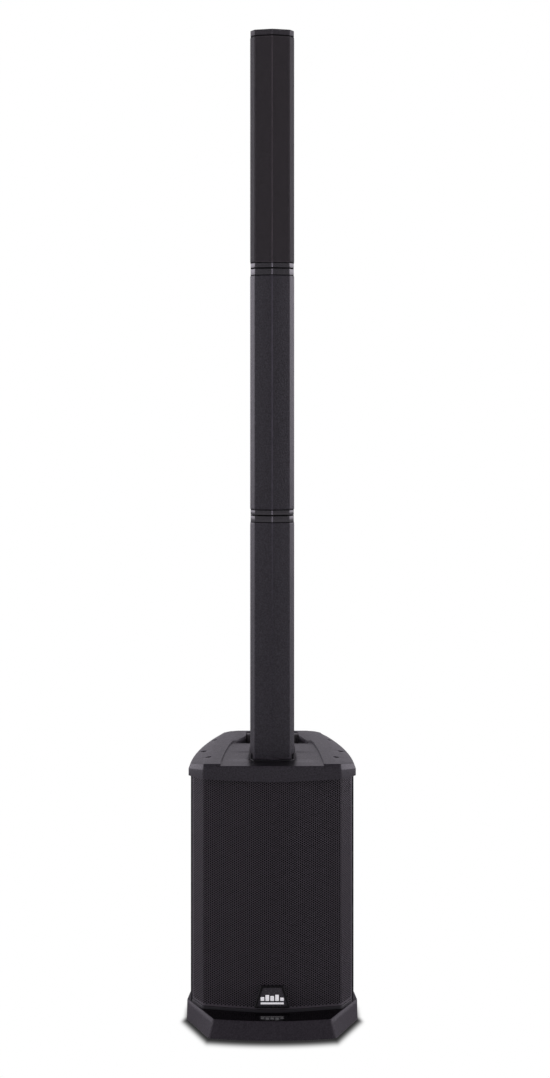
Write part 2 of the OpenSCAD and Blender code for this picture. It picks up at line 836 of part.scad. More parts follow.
// path of the grille, left to right
top_front = [
  [-col_width * 0.4 + 0.6, col_front + 9.15],
  [0, col_front],
  [col_width * 0.4 - 0.6, col_front + 9.15]
];
// room behind the board, and the stub of an end cap inside it
top_room = both([
  [36, board_y + 6],
  [col_half - col_wall, board_y + 8],
  [col_half - col_wall, col_back - 14.5],
  [col_half - 10.2, col_back - col_wall]
]);
top_stub = both([
  [35, board_y + 7],
  [col_half - 3.3, board_y + 9],
  [col_half - 3.3, col_back - 14.7],
  [col_half - 10.4, col_back - 3.3]
]);

function driver_screws_xz(z) = ring_places(31.8, [45:90:359], 0, z);

module top_shell() placed() color(charcoal)
difference() {
  prism(column, array_z0, array_z1);
  prism(top_room, array_z0 - 1, array_z1 + 1);
  // recess in front of the board, closed by the grille
  prism([
    [-35.1, col_front + 9.2], [-35.1, board_y], [35.1, board_y],
    [35.1, col_front + 9.2], [0, col_front - 1], [0, col_front - 20]
  ], array_z0 + 4, array_z1 - 4);
  prism(band(top_front, 3, -1.6), array_z0 - 1, array_z1 + 1);
  for (z = driver_z) {
    y_rod([0, z], board_y - 2, board_y + 8, 29.4);
    for (p = driver_screws_xz(z)) y_rod(p, board_y - 2, board_y + 5, 1.1, fn = 16);
  }
}

module top_grille() placed() color([0.06, 0.05, 0.055])
prism(band(top_front, -0.05, -1.2), array_z0 + 0.3, array_z1 - 0.3);

module top_end_cap() placed() color(black)
difference() {
  plate_z = total_height - up_cap_height;
  union() {
    prism(inset(column, 0.7), plate_z + 2.6, total_height);
    prism(inset(column, 2.7), plate_z, plate_z + 2.8);
    prism(top_stub, plate_z - 12, plate_z + 0.5);
  }
  prism(both([
    [30, board_y + 12], [col_half - 9, board_y + 14], [col_half - 14, col_back - 10]
  ]), total_height - 60, total_height - 4);
}

module top_bottom_cap() placed() color(black)
difference() {
  union() {
    lower_plate(top_z0);
    prism(top_stub, top_z0 + low_cap_height - 0.5, top_z0 + low_cap_height + 12);
    prism(plug_outer, top_z0 - plug_len, top_z0 + 0.5);
  }
  prism(both([[30, 75], [31, 122], [26, 126]]), top_z0 - plug_len + 5, top_z0 + 40);
  pin_bores(top_z0);
}

// pins, their wires and a cable up each side behind the drivers
module top_wiring() placed() color(brass)
union() {
  pins(top_z0);
  pin_wires(top_z0, top_z0 + 18);
  for (side = [-1, 1]) cable([
    [side * 15, 104, top_z0 + 10],
    [side * 15, 104, top_z0 + 17],
    [side * 20, 122 + nudge(side), top_z0 + 22],
    [side * 20, 122, driver_z[drivers - 1]]
  ], 1.4);
}

// the profiles of the small drivers are [radius, distance behind the board's face]
module driver_turned(z, profile) {
  turned(z, profile, y = board_y, fn = 48);
}

// ring, spider arms and seat of each small driver
module driver_frames() placed() color(dark_grey)
for (z = driver_z) difference() {
  driver_turned(z, [
    [29, -2.1], [34.6, -2.1], [34.6, -0.05], [29, -0.05], [28.6, 9], [22, 17],
    [13, 17], [13, 15.6], [21, 15.6], [27, 8.4], [27.4, -0.5]
  ]);
  for (a = [0:90:359]) translate([0, 0, z]) rotate([0, a, 0])
    translate([-8, board_y + 8.5, 8]) cube([16, 7, 30]);
  for (p = driver_screws_xz(z)) y_rod(p, board_y - 4, board_y + 4, 1.3, fn = 16);
}

module driver_magnets() placed() color([0.22, 0.22, 0.23])
for (z = driver_z) driver_turned(z, [
  [9.4, 17.1], [24, 17.1], [24, 30], [0, 30],
  [0, 16], [7.4, 16], [7.4, 27], [9.4, 27]
]);

module driver_surrounds() placed() color(rubber)
for (z = driver_z) driver_turned(z, [
  [22.3, -1.6], [23.4, -1.6], [24.4, -3], [26, -3.6], [27.4, -2.7], [30.2, -2.7],
  [30.2, -2.15], [27.2, -2.15], [26, -3], [24.9, -2.4], [23.9, -0.9], [22.3, -0.9]
]);

// cone with its coil, and the dust cap
module array_cones() placed() color(paper)
for (z = driver_z) union() {
  driver_turned(z, [
    [9, 8], [21.9, -0.8], [23.2, -0.8], [23.2, 0], [22.2, 0.2],
    [9, 9.4], [8.9, 24], [8, 24], [8, 8.4]
  ]);
  driver_turned(z, [
    [0, 3.4], [4, 3.9], [8, 6], [9.4, 8.2], [9, 8.8], [7.4, 7.4], [4, 5.1], [0, 4.6]
  ]);
}

// Which node to draw, or all of them

foot_tray();
rubber_feet();
foot_screws();
kerb_trim();
cabinet_shell();
front_baffle();
port_tube();
front_grille();
grille_foam();
badge_frame();
badge_plate();
badge_mark();
top_cap();
cap_screws();
handle_tub();
handle_grip();
socket_bezel();
column_socket();
socket_contacts();
woofer_basket();
woofer_magnet();
woofer_surround();
woofer_spider();
woofer_screws();
amp_panel();
amp_heatsink();
amp_board();
power_supply();
panel_screws();
input_jacks();
link_jack();
mains_inlet();
status_leds();
speaker_cables();
woofer_cone();
woofer_dust_cap();
woofer_coil();
knob_mic();
knob_line();
knob_sub();
button_pair();
button_mode();
power_rocker();
lower_tube();
lower_top_cap();
lower_bottom_cap();
lower_wiring();
middle_tube();
middle_top_cap();
middle_bottom_cap();
middle_wiring();
top_shell();
top_grille();
top_end_cap();
top_bottom_cap();
top_wiring();
driver_frames();
driver_magnets();
driver_surrounds();
array_cones();
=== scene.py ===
import math

import bpy
import bmesh
import numpy as np
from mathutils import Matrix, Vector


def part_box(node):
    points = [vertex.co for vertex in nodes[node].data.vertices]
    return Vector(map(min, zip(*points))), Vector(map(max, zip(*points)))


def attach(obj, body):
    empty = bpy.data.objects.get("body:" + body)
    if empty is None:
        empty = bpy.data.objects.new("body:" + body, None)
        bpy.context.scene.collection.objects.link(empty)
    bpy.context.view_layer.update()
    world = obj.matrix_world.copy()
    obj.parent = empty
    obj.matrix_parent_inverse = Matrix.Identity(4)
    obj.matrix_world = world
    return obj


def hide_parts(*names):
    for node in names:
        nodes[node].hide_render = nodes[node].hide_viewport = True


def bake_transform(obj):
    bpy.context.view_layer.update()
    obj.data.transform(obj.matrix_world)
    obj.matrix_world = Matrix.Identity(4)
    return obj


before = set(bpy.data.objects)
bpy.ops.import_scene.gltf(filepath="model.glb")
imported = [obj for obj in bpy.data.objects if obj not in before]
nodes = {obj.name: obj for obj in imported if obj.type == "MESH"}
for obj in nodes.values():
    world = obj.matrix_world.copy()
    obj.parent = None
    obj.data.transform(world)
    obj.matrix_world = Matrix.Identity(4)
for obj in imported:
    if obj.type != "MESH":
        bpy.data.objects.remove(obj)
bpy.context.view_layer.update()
MM = 0.001


def box_mm(name):
    lo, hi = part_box(name)
    return [v * 1000 for v in lo], [v * 1000 for v in hi]


def heights(name):
    """Bottom and top of a CAD node."""
    lo, hi = box_mm(name)
    return lo[2], hi[2]


FRONT_Y = -160.0
LIP_DROP = 5.6  # how far the cap's front lip hangs below its base
DECK_Z = heights("socket_bezel")[0] - 0.02
CAP_BASE_Z = heights("top_cap")[0] + LIP_DROP
CROWN_Z = heights("top_cap")[1]
BAND_Z = CAP_BASE_Z + 23  # top of the cap's front band
WALL = 12  # cabinet wall
DRIVER_COUNT, DRIVER_PITCH = 6, 74
CAMERA_BACK, CAMERA_HEIGHT = 3400.0, 1234.6  # back is forward of the cap's front edge


def driver_heights():
    z0, z1 = heights("top_shell")
    middle = (z0 + z1) / 2
    return [middle + (i - (DRIVER_COUNT - 1) / 2) * DRIVER_PITCH for i in range(DRIVER_COUNT)]


# ------------------------------------------------------------------ outline helpers


def unit(v):
    v = np.array(v, float)
    return v / np.linalg.norm(v)


def right_normal(a, b):
    return unit([b[1] - a[1], a[0] - b[0]])


def mitre(a, b, c, d):
    n1, n2 = right_normal(a, b), right_normal(b, c)
    return np.array(b, float) + d * (n1 + n2) / (1 + n1 @ n2)


def inset(outline, d):
    """A closed anticlockwise outline moved inwards by d."""
    n = len(outline)
    return [mitre(outline[i - 1], outline[i], outline[(i + 1) % n], -d) for i in range(n)]


def shift(path, d):
    """An open path moved to its right by d."""
    first = np.array(path[0], float) + d * right_normal(path[0], path[1])
    last = np.array(path[-1], float) + d * right_normal(path[-2], path[-1])
    return [first] + [mitre(*path[i - 1:i + 2], d) for i in range(1, len(path) - 1)] + [last]


def both(right):
    """A right half, front to rear, closed with its mirror image."""
    right = [list(p) for p in right]
    return right + [[-p[0], p[1]] for p in right[::-1]]


def curve(p0, corner, p2, s):
    return (1 - s) ** 2 * p0 + 2 * s * (1 - s) * corner + s * s * p2


def fillet(outline, radii, seg):
    """Rounds every corner of a closed outline into seg+1 points; radii is a number or a list."""
    n, out = len(outline), []
    for i in range(n):
        a, b, c = (np.array(outline[j % n], float) for j in (i - 1, i, i + 1))
        r = radii[i] if isinstance(radii, list) else radii
        u, v = unit(a - b), unit(c - b)
        angle = math.acos(max(-1, min(1, float(u @ v))))
        reach = r / math.tan(angle / 2) if angle > 1e-3 else 0
        reach = min(reach, 0.48 * np.linalg.norm(a - b), 0.48 * np.linalg.norm(c - b))
        out += [curve(b + u * reach, b, b + v * reach, k / seg) for k in range(seg + 1)]
    return out


def plan(outline, radii, d, seg=4):
    """An outline inset by d and rounded, with its corner radii reduced to match."""
    r = [max(x - d, 0.3) for x in radii] if isinstance(radii, list) else max(radii - d, 0.3)
    return fillet(inset(outline, d) if d else outline, r, seg)


def lerp(start, end, t):
    return [np.array(p, float) * (1 - t) + np.array(q, float) * t for p, q in zip(start, end)]


# ------------------------------------------------------------------ plan outlines, [x, y]


def side_x(y):
    """Half width of the body's bowed side."""
    return 164.4 - 0.00045 * y * y


def side_run(margin, y0, y1, n):
    ys = [y0 + (y1 - y0) * i / n for i in range(n + 1)]
    return [[side_x(y) + margin, y] for y in ys]


def foot_front(half_width, y_middle):
    return [[half_width * i / 16, y_middle + 12.7 * (i / 16) ** 2] for i in range(1, 17)]


CAP_TOP = both([[136, 0]] + side_run(0, 35, 318, 12) + [[106, 336], [93, 347], [75, 355]])
CAP_SKIRT = both([[137.5, -4.5]] + side_run(3.8, 34, 318, 12)
                 + [[110, 340], [94.5, 353.5], [77, 364.5]])
CABINET_REAR = [[108, 338.5], [93.5, 350.8], [75.5, 362]]
CABINET = both(side_run(3.4, 75, 318, 12) + CABINET_REAR)
ROOM = inset(both(side_run(2, 55, 318, 12) + CABINET_REAR), WALL)
FOOT_LOW = both(foot_front(125.4, -52) + [[172.6, 68]] + side_run(14.4, 131, 315, 8)
                + [[119, 346], [102, 361], [82, 372]])
FOOT_TOP = both(foot_front(115.5, -45.4) + [[172.8, 86]] + side_run(11.8, 131, 315, 8)
                + [[116, 344], [100, 358.5], [80, 369]])
COLUMN = [[0, 41]] + both([[35.6, 50], [44.5, 64], [44.5, 128], [35.5, 141]])
POCKET = both([[79, 227], [57, 302], [56, 340], [50, 350]])

# corner radii of COLUMN, starting at its front ridge
SIDE_RADII = [3.0, 5.0, 6.0, 5.0, 5.0, 6.0, 5.0, 3.0]
TUBE_RADII = [7.0] + SIDE_RADII
RIM_RADII = [2.5] + SIDE_RADII


def grille_path():
    """The front grille's open path from its left end, round the bowed front, to its right end."""
    half_width, steps, end = 138, 48, [161.2, 71]
    round_reach = 2.6
    front = []
    for i in range(steps + 1):
        x = half_width * i / steps
        front.append([x, 5 + 0.225 * (math.sqrt(x * x + 1600.0) - 40.0)])
    bend = np.array(front[-1])
    inward, back = unit(np.array(front[-2]) - bend), unit(np.array(end) - bend)
    corner = [list(curve(bend + inward * round_reach, bend, bend + back * round_reach, k / 8))
              for k in range(1, 8)]
    right = front[:-1] + corner + [list(bend + back * (4 + 11.0 * i)) for i in range(4)] + [end]
    return [[-p[0], p[1]] for p in right[:0:-1]] + right


GRILLE = grille_path()

# ------------------------------------------------------------------ mesh helpers


def new_mesh(name, verts, faces):
    mesh = bpy.data.meshes.new(name)
    mesh.from_pydata(verts, [], faces)
    mesh.validate()
    mesh.update()
    return mesh


def add_object(name, mesh):
    o = bpy.data.objects.new(name, mesh)
    bpy.context.scene.collection.objects.link(o)
    return o


def clean(mesh, merge=None, normals=True):
    """Merges vertices closer than merge metres and turns the faces outwards."""
    bm = bmesh.new()
    bm.from_mesh(mesh)
    if merge:
        bmesh.ops.remove_doubles(bm, verts=bm.verts, dist=merge)
    if normals:
        bmesh.ops.recalc_face_normals(bm, faces=bm.faces)
    bm.to_mesh(mesh)
    bm.free()


def shade(o, smooth=32):
    """Smooth shading, sharp above an angle in degrees; 0 leaves the object flat."""
    if smooth:
        o.data.shade_smooth()
        o.data.set_sharp_from_angle(angle=math.radians(smooth))
    return o


def build(name, verts, faces, smooth=32):
    mesh = new_mesh(name, [tuple(v) for v in verts], faces)
    clean(mesh)
    return shade(add_object(name, mesh), smooth)


def discard(o):
    mesh = o.data
    bpy.data.objects.remove(o)
    bpy.data.meshes.remove(mesh)


def to_m(p, z):
    return (p[0] * MM, (p[1] + FRONT_Y) * MM, z * MM)


def rings(name, stack, loop=False, smooth=32):
    """A skin over closed rings of equal length, capped at both ends or looped back to the first.

    Each ring is (plan points, z) in mm or a list of 3-D points in metres."""
    verts, faces = [], []
    for ring in stack:
        if isinstance(ring, tuple):
            verts += [to_m(p, ring[1]) for p in ring[0]]
        else:
            verts += [tuple(p) for p in ring]
    n = len(verts) // len(stack)
    m = len(stack)
    for j in range(m if loop else m - 1):
        a, b = j * n, ((j + 1) % m) * n
        for i in range(n):
            k = (i + 1) % n
            faces.append((a + i, a + k, b + k, b + i))
    if not loop:
        faces.append(tuple(range(n - 1, -1, -1)))
        faces.append(tuple(range((m - 1) * n, m * n)))
    return build(name, verts, faces, smooth)


def prism(name, outline, z0, z1):
    return rings(name, [(outline, z0), (outline, z1)])


def block(x0, x1, y0, y1, z0, z1):
    return prism("block", [[x0, y0], [x1, y0], [x1, y1], [x0, y1]], z0, z1)


def turned(profile, centre, n, axis="z"):
    """Profile points [radius, height] turned about an axis through centre."""
    smooth = 35
    verts, faces = [], []
    for i in range(n):
        angle = 2 * math.pi * i / n
        for r, h in profile:
            x, y, z = r * math.cos(angle), r * math.sin(angle), h
            if axis == "y":
                y, z = z, y
            verts.append(((x + centre[0]) * MM, (y + centre[1]) * MM, (z + centre[2]) * MM))
    m = len(profile)
    for i in range(n):
        for j in range(m - 1):
            a, b = i * m + j, ((i + 1) % n) * m + j
            faces.append((a, b, b + 1, a + 1))
    o = build("turned", verts, faces, smooth)
    clean(o.data, merge=1e-6)
    return shade(o, smooth)


def join(name, objs):
    """One mesh from several."""
    verts, faces, base = [], [], 0
    for o in objs:
        verts += [tuple(v.co) for v in o.data.vertices]
        faces += [tuple(base + i for i in p.vertices) for p in o.data.polygons]
        base += len(o.data.vertices)
    for o in objs:
        discard(o)
    return build(name, verts, faces)


def apply_mods(o, smooth=32):
    graph = bpy.context.evaluated_depsgraph_get()
    graph.update()
    mesh = bpy.data.meshes.new_from_object(o.evaluated_get(graph), preserve_all_data_layers=True,
                                           depsgraph=graph)
    o.modifiers.clear()
    old = o.data
    o.data = mesh
    mesh.name = o.name
    bpy.data.meshes.remove(old)
    return shade(o, smooth)


def boolean(o, tool, op="DIFFERENCE"):
    mod = o.modifiers.new("boolean", "BOOLEAN")
    mod.operation = op
    mod.object = tool
    mod.solver = "EXACT"
    apply_mods(o)
    discard(tool)


def add_bevel(o, width, seg=2, angle=40):
    mod = o.modifiers.new("edge", "BEVEL")
    mod.width = width * MM
    mod.segments = seg
    mod.limit_method = "ANGLE"
    mod.angle_limit = math.radians(angle)
    mod.use_clamp_overlap = True
    mod.harden_normals = False


def bevel(o, width, seg, angle, smooth):
    add_bevel(o, width, seg, angle)
    apply_mods(o, smooth)


# ------------------------------------------------------------------ node graphs


class Graph:
    """Short calls on a node tree; most return the new node's output socket."""

    def __init__(self, tree, clear=False):
        self.nodes, self.links = tree.nodes, tree.links
        if clear:
            for node in list(self.nodes):
                self.nodes.remove(node)

    def node(self, kind, **settings):
        node = self.nodes.new("ShaderNode" + kind)
        for key, value in settings.items():
            setattr(node, key, value)
        return node

    def feed(self, socket, value):
        """Sets a socket to a number or a colour, or links an output to it."""
        if isinstance(value, (int, float)):
            socket.default_value = value
        elif isinstance(value, tuple):
            socket.default_value = (*value, 1.0)
        else:
            self.links.new(value, socket)

    def math(self, op, a, b=None):
        node = self.node("Math", operation=op)
        for i, value in enumerate((a, b)):
            if value is not None:
                self.feed(node.inputs[i], value)
        return node.outputs["Value"]

    def ramp(self, value, lo, hi, a, b, kind="LINEAR"):
        """Maps lo..hi to a..b."""
        node = self.node("MapRange", interpolation_type=kind)
        for key, number in (("From Min", lo), ("From Max", hi), ("To Min", a), ("To Max", b)):
            node.inputs[key].default_value = number
        self.feed(node.inputs["Value"], value)
        return node.outputs["Result"]

    def step(self, value, lo, hi, a=0.0, b=1.0):
        return self.ramp(value, lo, hi, a, b, "SMOOTHSTEP")

    def split(self, vector):
        node = self.node("SeparateXYZ")
        self.feed(node.inputs[0], vector)
        return node.outputs

    def output(self, kind, lighting, seen):
        """Shows the camera one shader, and every other ray another."""
        mix = self.node("MixShader")
        self.feed(mix.inputs["Fac"], self.node("LightPath").outputs["Is Camera Ray"])
        self.feed(mix.inputs[1], lighting.outputs[0])
        self.feed(mix.inputs[2], seen.outputs[0])
        self.feed(self.node(kind).inputs["Surface"], mix.outputs[0])


class Mat(Graph):
    """A procedural material patterned in the object's own metres."""

    def __init__(self, name, rough=0.45, metallic=0.0, spec=0.5, coat=0.0):
        self.m = bpy.data.materials.new(name)
        self.m.use_nodes = True
        super().__init__(self.m.node_tree)
        self.shader = self.nodes["Principled BSDF"].inputs
        for key, value in (("Roughness", rough), ("Metallic", metallic),
                           ("Specular IOR Level", spec), ("Coat Weight", coat)):
            self.shader[key].default_value = value
        self.place = self.node("TexCoord").outputs["Object"]
        self.normal_in = None

    def coords(self, scale=(1, 1, 1)):
        node = self.node("Mapping")
        node.inputs["Scale"].default_value = scale
        self.feed(node.inputs["Vector"], self.place)
        return node.outputs["Vector"]

    def noise(self, scale, detail=3.0, stretch=(1, 1, 1), rough=0.5):
        node = self.node("TexNoise")
        for key, value in (("Scale", scale), ("Detail", detail), ("Roughness", rough)):
            node.inputs[key].default_value = value
        self.feed(node.inputs["Vector"], self.coords(stretch))
        return node.outputs["Fac"]

    def cells(self, scale):
        node = self.node("TexVoronoi", feature="SMOOTH_F1")
        node.inputs["Scale"].default_value = scale
        self.feed(node.inputs["Vector"], self.coords())
        return node.outputs["Distance"]

    def mix(self, fac, a, b):
        node = self.node("Mix", data_type="RGBA")
        for key, value in (("Factor", fac), ("A", a), ("B", b)):
            self.feed([i for i in node.inputs if i.name == key and i.enabled][0], value)
        return [o for o in node.outputs if o.enabled][0]

    def colour(self, value):
        self.feed(self.shader["Base Color"], value)

    def roughness(self, value):
        self.feed(self.shader["Roughness"], value)

    def rough_noise(self, scale, lo, hi):
        self.roughness(self.ramp(self.noise(scale), 0.3, 0.7, lo, hi))

    def bump(self, height, strength, dist):
        """Adds a bump of dist mm on top of any earlier one."""
        node = self.node("Bump")
        node.inputs["Strength"].default_value = strength
        node.inputs["Distance"].default_value = dist * MM
        self.feed(node.inputs["Height"], height)
        if self.normal_in:
            self.feed(node.inputs["Normal"], self.normal_in)
        self.normal_in = node.outputs["Normal"]
        self.feed(self.shader["Normal"], self.normal_in)

    def face_normal(self):
        return self.node("NewGeometry").outputs["Normal"]

    def vector(self, op, a, b=None):
        node = self.node("VectorMath", operation=op)
        self.feed(node.inputs[0], a)
        if b is not None:
            self.feed(node.inputs[1], b)
        return node.outputs

    def near_ridge(self, inner, outer):
        """1 within inner mm of the middle plane, fading to 0 at outer."""
        x = self.math("ABSOLUTE", self.split(self.place)["X"], 0.0)
        return self.ramp(x, inner * MM, outer * MM, 1.0, 0.0)

    def along_y(self, y0, y1, a, b):
        y = self.split(self.place)["Y"]
        return self.ramp(y, (FRONT_Y + y0) * MM, (FRONT_Y + y1) * MM, a, b)

    def tilt(self, lean):
        """Leans upward faces in front of the grille towards the front; returns their mask."""
        normal = self.face_normal()
        up = self.ramp(self.split(normal)["Z"], 0.93, 0.985, 0.0, 1.0)
        mask = self.math("MULTIPLY", up, self.along_y(40, 34, 0.0, 1.0))
        push = self.node("CombineXYZ")
        self.feed(push.inputs["Y"], self.math("MULTIPLY", mask, -lean))
        leaning = self.vector("ADD", normal, push.outputs[0])[0]
        self.normal_in = self.vector("NORMALIZE", leaning)[0]
        return mask

    def column_foot_shade(self):
        """Nearly 1 on the deck in front of the column, where painted shade stands in for the
        shadow and dark reflection of its foot.
        """
        pos = self.split(self.place)
        x = self.math("ABSOLUTE", pos["X"], 0.0)
        across = self.ramp(x, 42 * MM, 47 * MM, 1.0, 0.0)
        fore = self.ramp(pos["Y"], (FRONT_Y + 44) * MM, (FRONT_Y + 60) * MM, 1.0, 0.0)
        up = self.ramp(self.split(self.face_normal())["Z"], 0.90, 0.98, 0.0, 0.9)
        return self.math("MULTIPLY", self.math("MULTIPLY", across, fore), up)

    def ridge_highlight(self):
        """1 along the column's front ridge, where a painted highlight lightens it, strongest high
        up and broken into patches.
        """
        pos = self.split(self.place)
        x = self.math("ABSOLUTE", pos["X"], 0.0)
        across = self.ramp(x, 0.7 * MM, 1.7 * MM, 1.0, 0.0)
        fore = self.ramp(pos["Y"], (FRONT_Y + 42.4) * MM, (FRONT_Y + 43.0) * MM, 1.0, 0.0)
        high = self.ramp(pos["Z"], 0.75, 1.15, 0.08, 1.0)
        patches = self.ramp(self.noise(40.0, detail=4.0), 0.3, 0.7, 0.55, 1.0)
        highlight_strength = self.math("MULTIPLY", high, patches)
        return self.math("MULTIPLY", self.math("MULTIPLY", across, fore), highlight_strength)

    def edges(self):
        """0 on flat areas, 1 on edges."""
        node = self.node("Bevel", samples=4)
        node.inputs["Radius"].default_value = 1.2 * MM
        dot = self.vector("DOT_PRODUCT", node.outputs["Normal"], self.face_normal())
        return self.ramp(dot["Value"], 0.99, 0.86, 0.0, 1.0)


# ------------------------------------------------------------------ materials


def tone(colour, gain, add=0.0):
    return tuple(min(1.0, c * gain + add) for c in colour)


def moulded(name, base, rough, grain, bump, dist, var=0.18, wear=0.0, fleck=0.0, coat=0.0,
            rough_var=0.04, spec=0.5, fleck_scale=700.0, cells=0.0, fleck_col=None, mid=0.0,
            mid_bump=0.0, tilt=None, ridge=0.0, column_shade=False):
    """Moulded or painted plastic: mottled colour, fine grain and a middle-sized orange peel.

    grain, bump and dist (mm) set the fine bump; var is the mottling, or mid if given.
    wear pales the edges; ridge paints a highlight along the column's front ridge; lee paints shade
    on the deck in front of the column.
    tilt is (lean, gloss) for upward faces in front of the grille."""
    mid_scale = 340.0
    m = Mat(name, rough, spec=spec, coat=coat)
    if tilt:
        lean, gloss = tilt
        mask = m.tilt(lean)
    fac = m.noise(7.0, detail=4.0)
    if mid:
        fine = m.ramp(m.noise(mid_scale, detail=2.0, rough=0.6), 0.30, 0.70, 0.0, 1.0)
        fac = m.math("ADD", m.math("MULTIPLY", fac, 0.2), m.math("MULTIPLY", fine, 0.8))
        var = mid
    col = m.mix(fac, tuple(c * (1 - var) for c in base), tuple(c * (1 + var) for c in base))
    if fleck:
        spots = m.ramp(m.noise(fleck_scale, detail=2.0, rough=0.6), 0.56, 0.72, 0.0, fleck)
        col = m.mix(spots, col, fleck_col or tone(base, 5, 0.02))
    if wear:
        patches = m.ramp(m.noise(60.0, detail=5.0), 0.4, 0.7, 0.0, wear)
        col = m.mix(m.math("MULTIPLY", m.edges(), patches), col, tone(base, 3, 0.03))
    if column_shade:
        # Painted shade: the deck in front of the column is darkened and its reflection dimmed, in
        # place of the column's shadow and dark reflection.
        shadow = m.column_foot_shade()
        col = m.mix(shadow, col, tone(base, 0.2))
        lit = m.math("SUBTRACT", 1.0, m.math("MULTIPLY", shadow, 0.75))
        m.feed(m.shader["Specular IOR Level"], m.math("MULTIPLY", lit, spec))
    if ridge:
        # Painted highlight along the front ridge, where a lamp would glint on it.
        col = m.mix(m.ridge_highlight(), col, tone(base, ridge))
    if tilt:
        col = m.mix(mask, col, tone(base, 0.12))
        shine = m.math("ADD", m.math("MULTIPLY", mask, 0.6), spec)
        m.feed(m.shader["Specular IOR Level"], shine)
    m.colour(col)
    r = m.ramp(m.noise(260.0), 0.3, 0.7, rough - rough_var, rough + rough_var)
    if tilt:
        r = m.math("SUBTRACT", r, m.math("MULTIPLY", mask, gloss))
    m.roughness(r)
    if cells:
        m.bump(m.cells(cells), strength=0.5, dist=dist * 1.6)
    if mid_bump:
        m.bump(m.noise(mid_scale * 1.1, detail=2.0, rough=0.6), strength=mid_bump, dist=0.35)
    m.bump(m.noise(grain, rough=0.65), strength=bump, dist=dist)
    return m.m


def metal(name, base, rough, brushed=(1, 1, 1), metallic=1.0, scale=400.0):
    """Metal with a fine grain, stretched by brushed."""
    m = Mat(name, rough, metallic)
    fine = m.noise(scale, stretch=brushed)
    broad = m.noise(9.0, detail=4.0)
    m.colour(m.mix(broad, tone(base, 0.85), tone(base, 1.12)))
    m.roughness(m.math("ADD", m.ramp(fine, 0.3, 0.7, rough - 0.1, rough + 0.1),
                       m.ramp(broad, 0.3, 0.7, -0.04, 0.04)))
    m.bump(fine, strength=0.08, dist=0.05)
    return m.m


def fabric(name, low, high, scale):
    """Cloth woven from two sets of waves."""
    m = Mat(name, rough=0.95, spec=0.2)
    threads = []
    for direction in ("X", "Z"):
        wave = m.node("TexWave", bands_direction=direction)
        wave.inputs["Scale"].default_value = scale / 6.28
        wave.inputs["Distortion"].default_value = 0.6
        wave.inputs["Detail Scale"].default_value = 2.0
        m.feed(wave.inputs["Vector"], m.coords())
        threads.append(wave.outputs["Fac"])
    weave = m.math("MAXIMUM", *threads)
    patches = m.ramp(m.noise(30.0), 0.3, 0.7, 0.6, 1.0)
    m.colour(m.mix(m.math("MULTIPLY", weave, patches), low, high))
    m.bump(weave, strength=0.4, dist=0.15)
    m.rough_noise(80.0, 0.87, 1.0)
    return m.m


def glowing_white_mark():
    m = Mat("glowing_white_mark", rough=0.30, spec=0.6, coat=0.2)
    white = m.mix(m.noise(500.0), (0.80, 0.80, 0.81), (0.92, 0.92, 0.93))
    m.colour(white)
    # Painted light: a faint emission makes the mark glow, though nothing in it is lit.
    m.feed(m.shader["Emission Color"], white)
    m.shader["Emission Strength"].default_value = 0.38
    m.rough_noise(300.0, 0.26, 0.36)
    m.bump(m.noise(1500.0), strength=0.1, dist=0.04)
    return m.m


def led_lens():
    m = Mat("led_lens", rough=0.12, coat=0.5)
    m.colour(m.mix(m.noise(900.0), (0.02, 0.30, 0.06), (0.06, 0.60, 0.16)))
    m.rough_noise(400.0, 0.08, 0.2)
    m.shader["Emission Color"].default_value = (0.1, 0.9, 0.25, 1)
    m.shader["Emission Strength"].default_value = 0.35
    return m.m
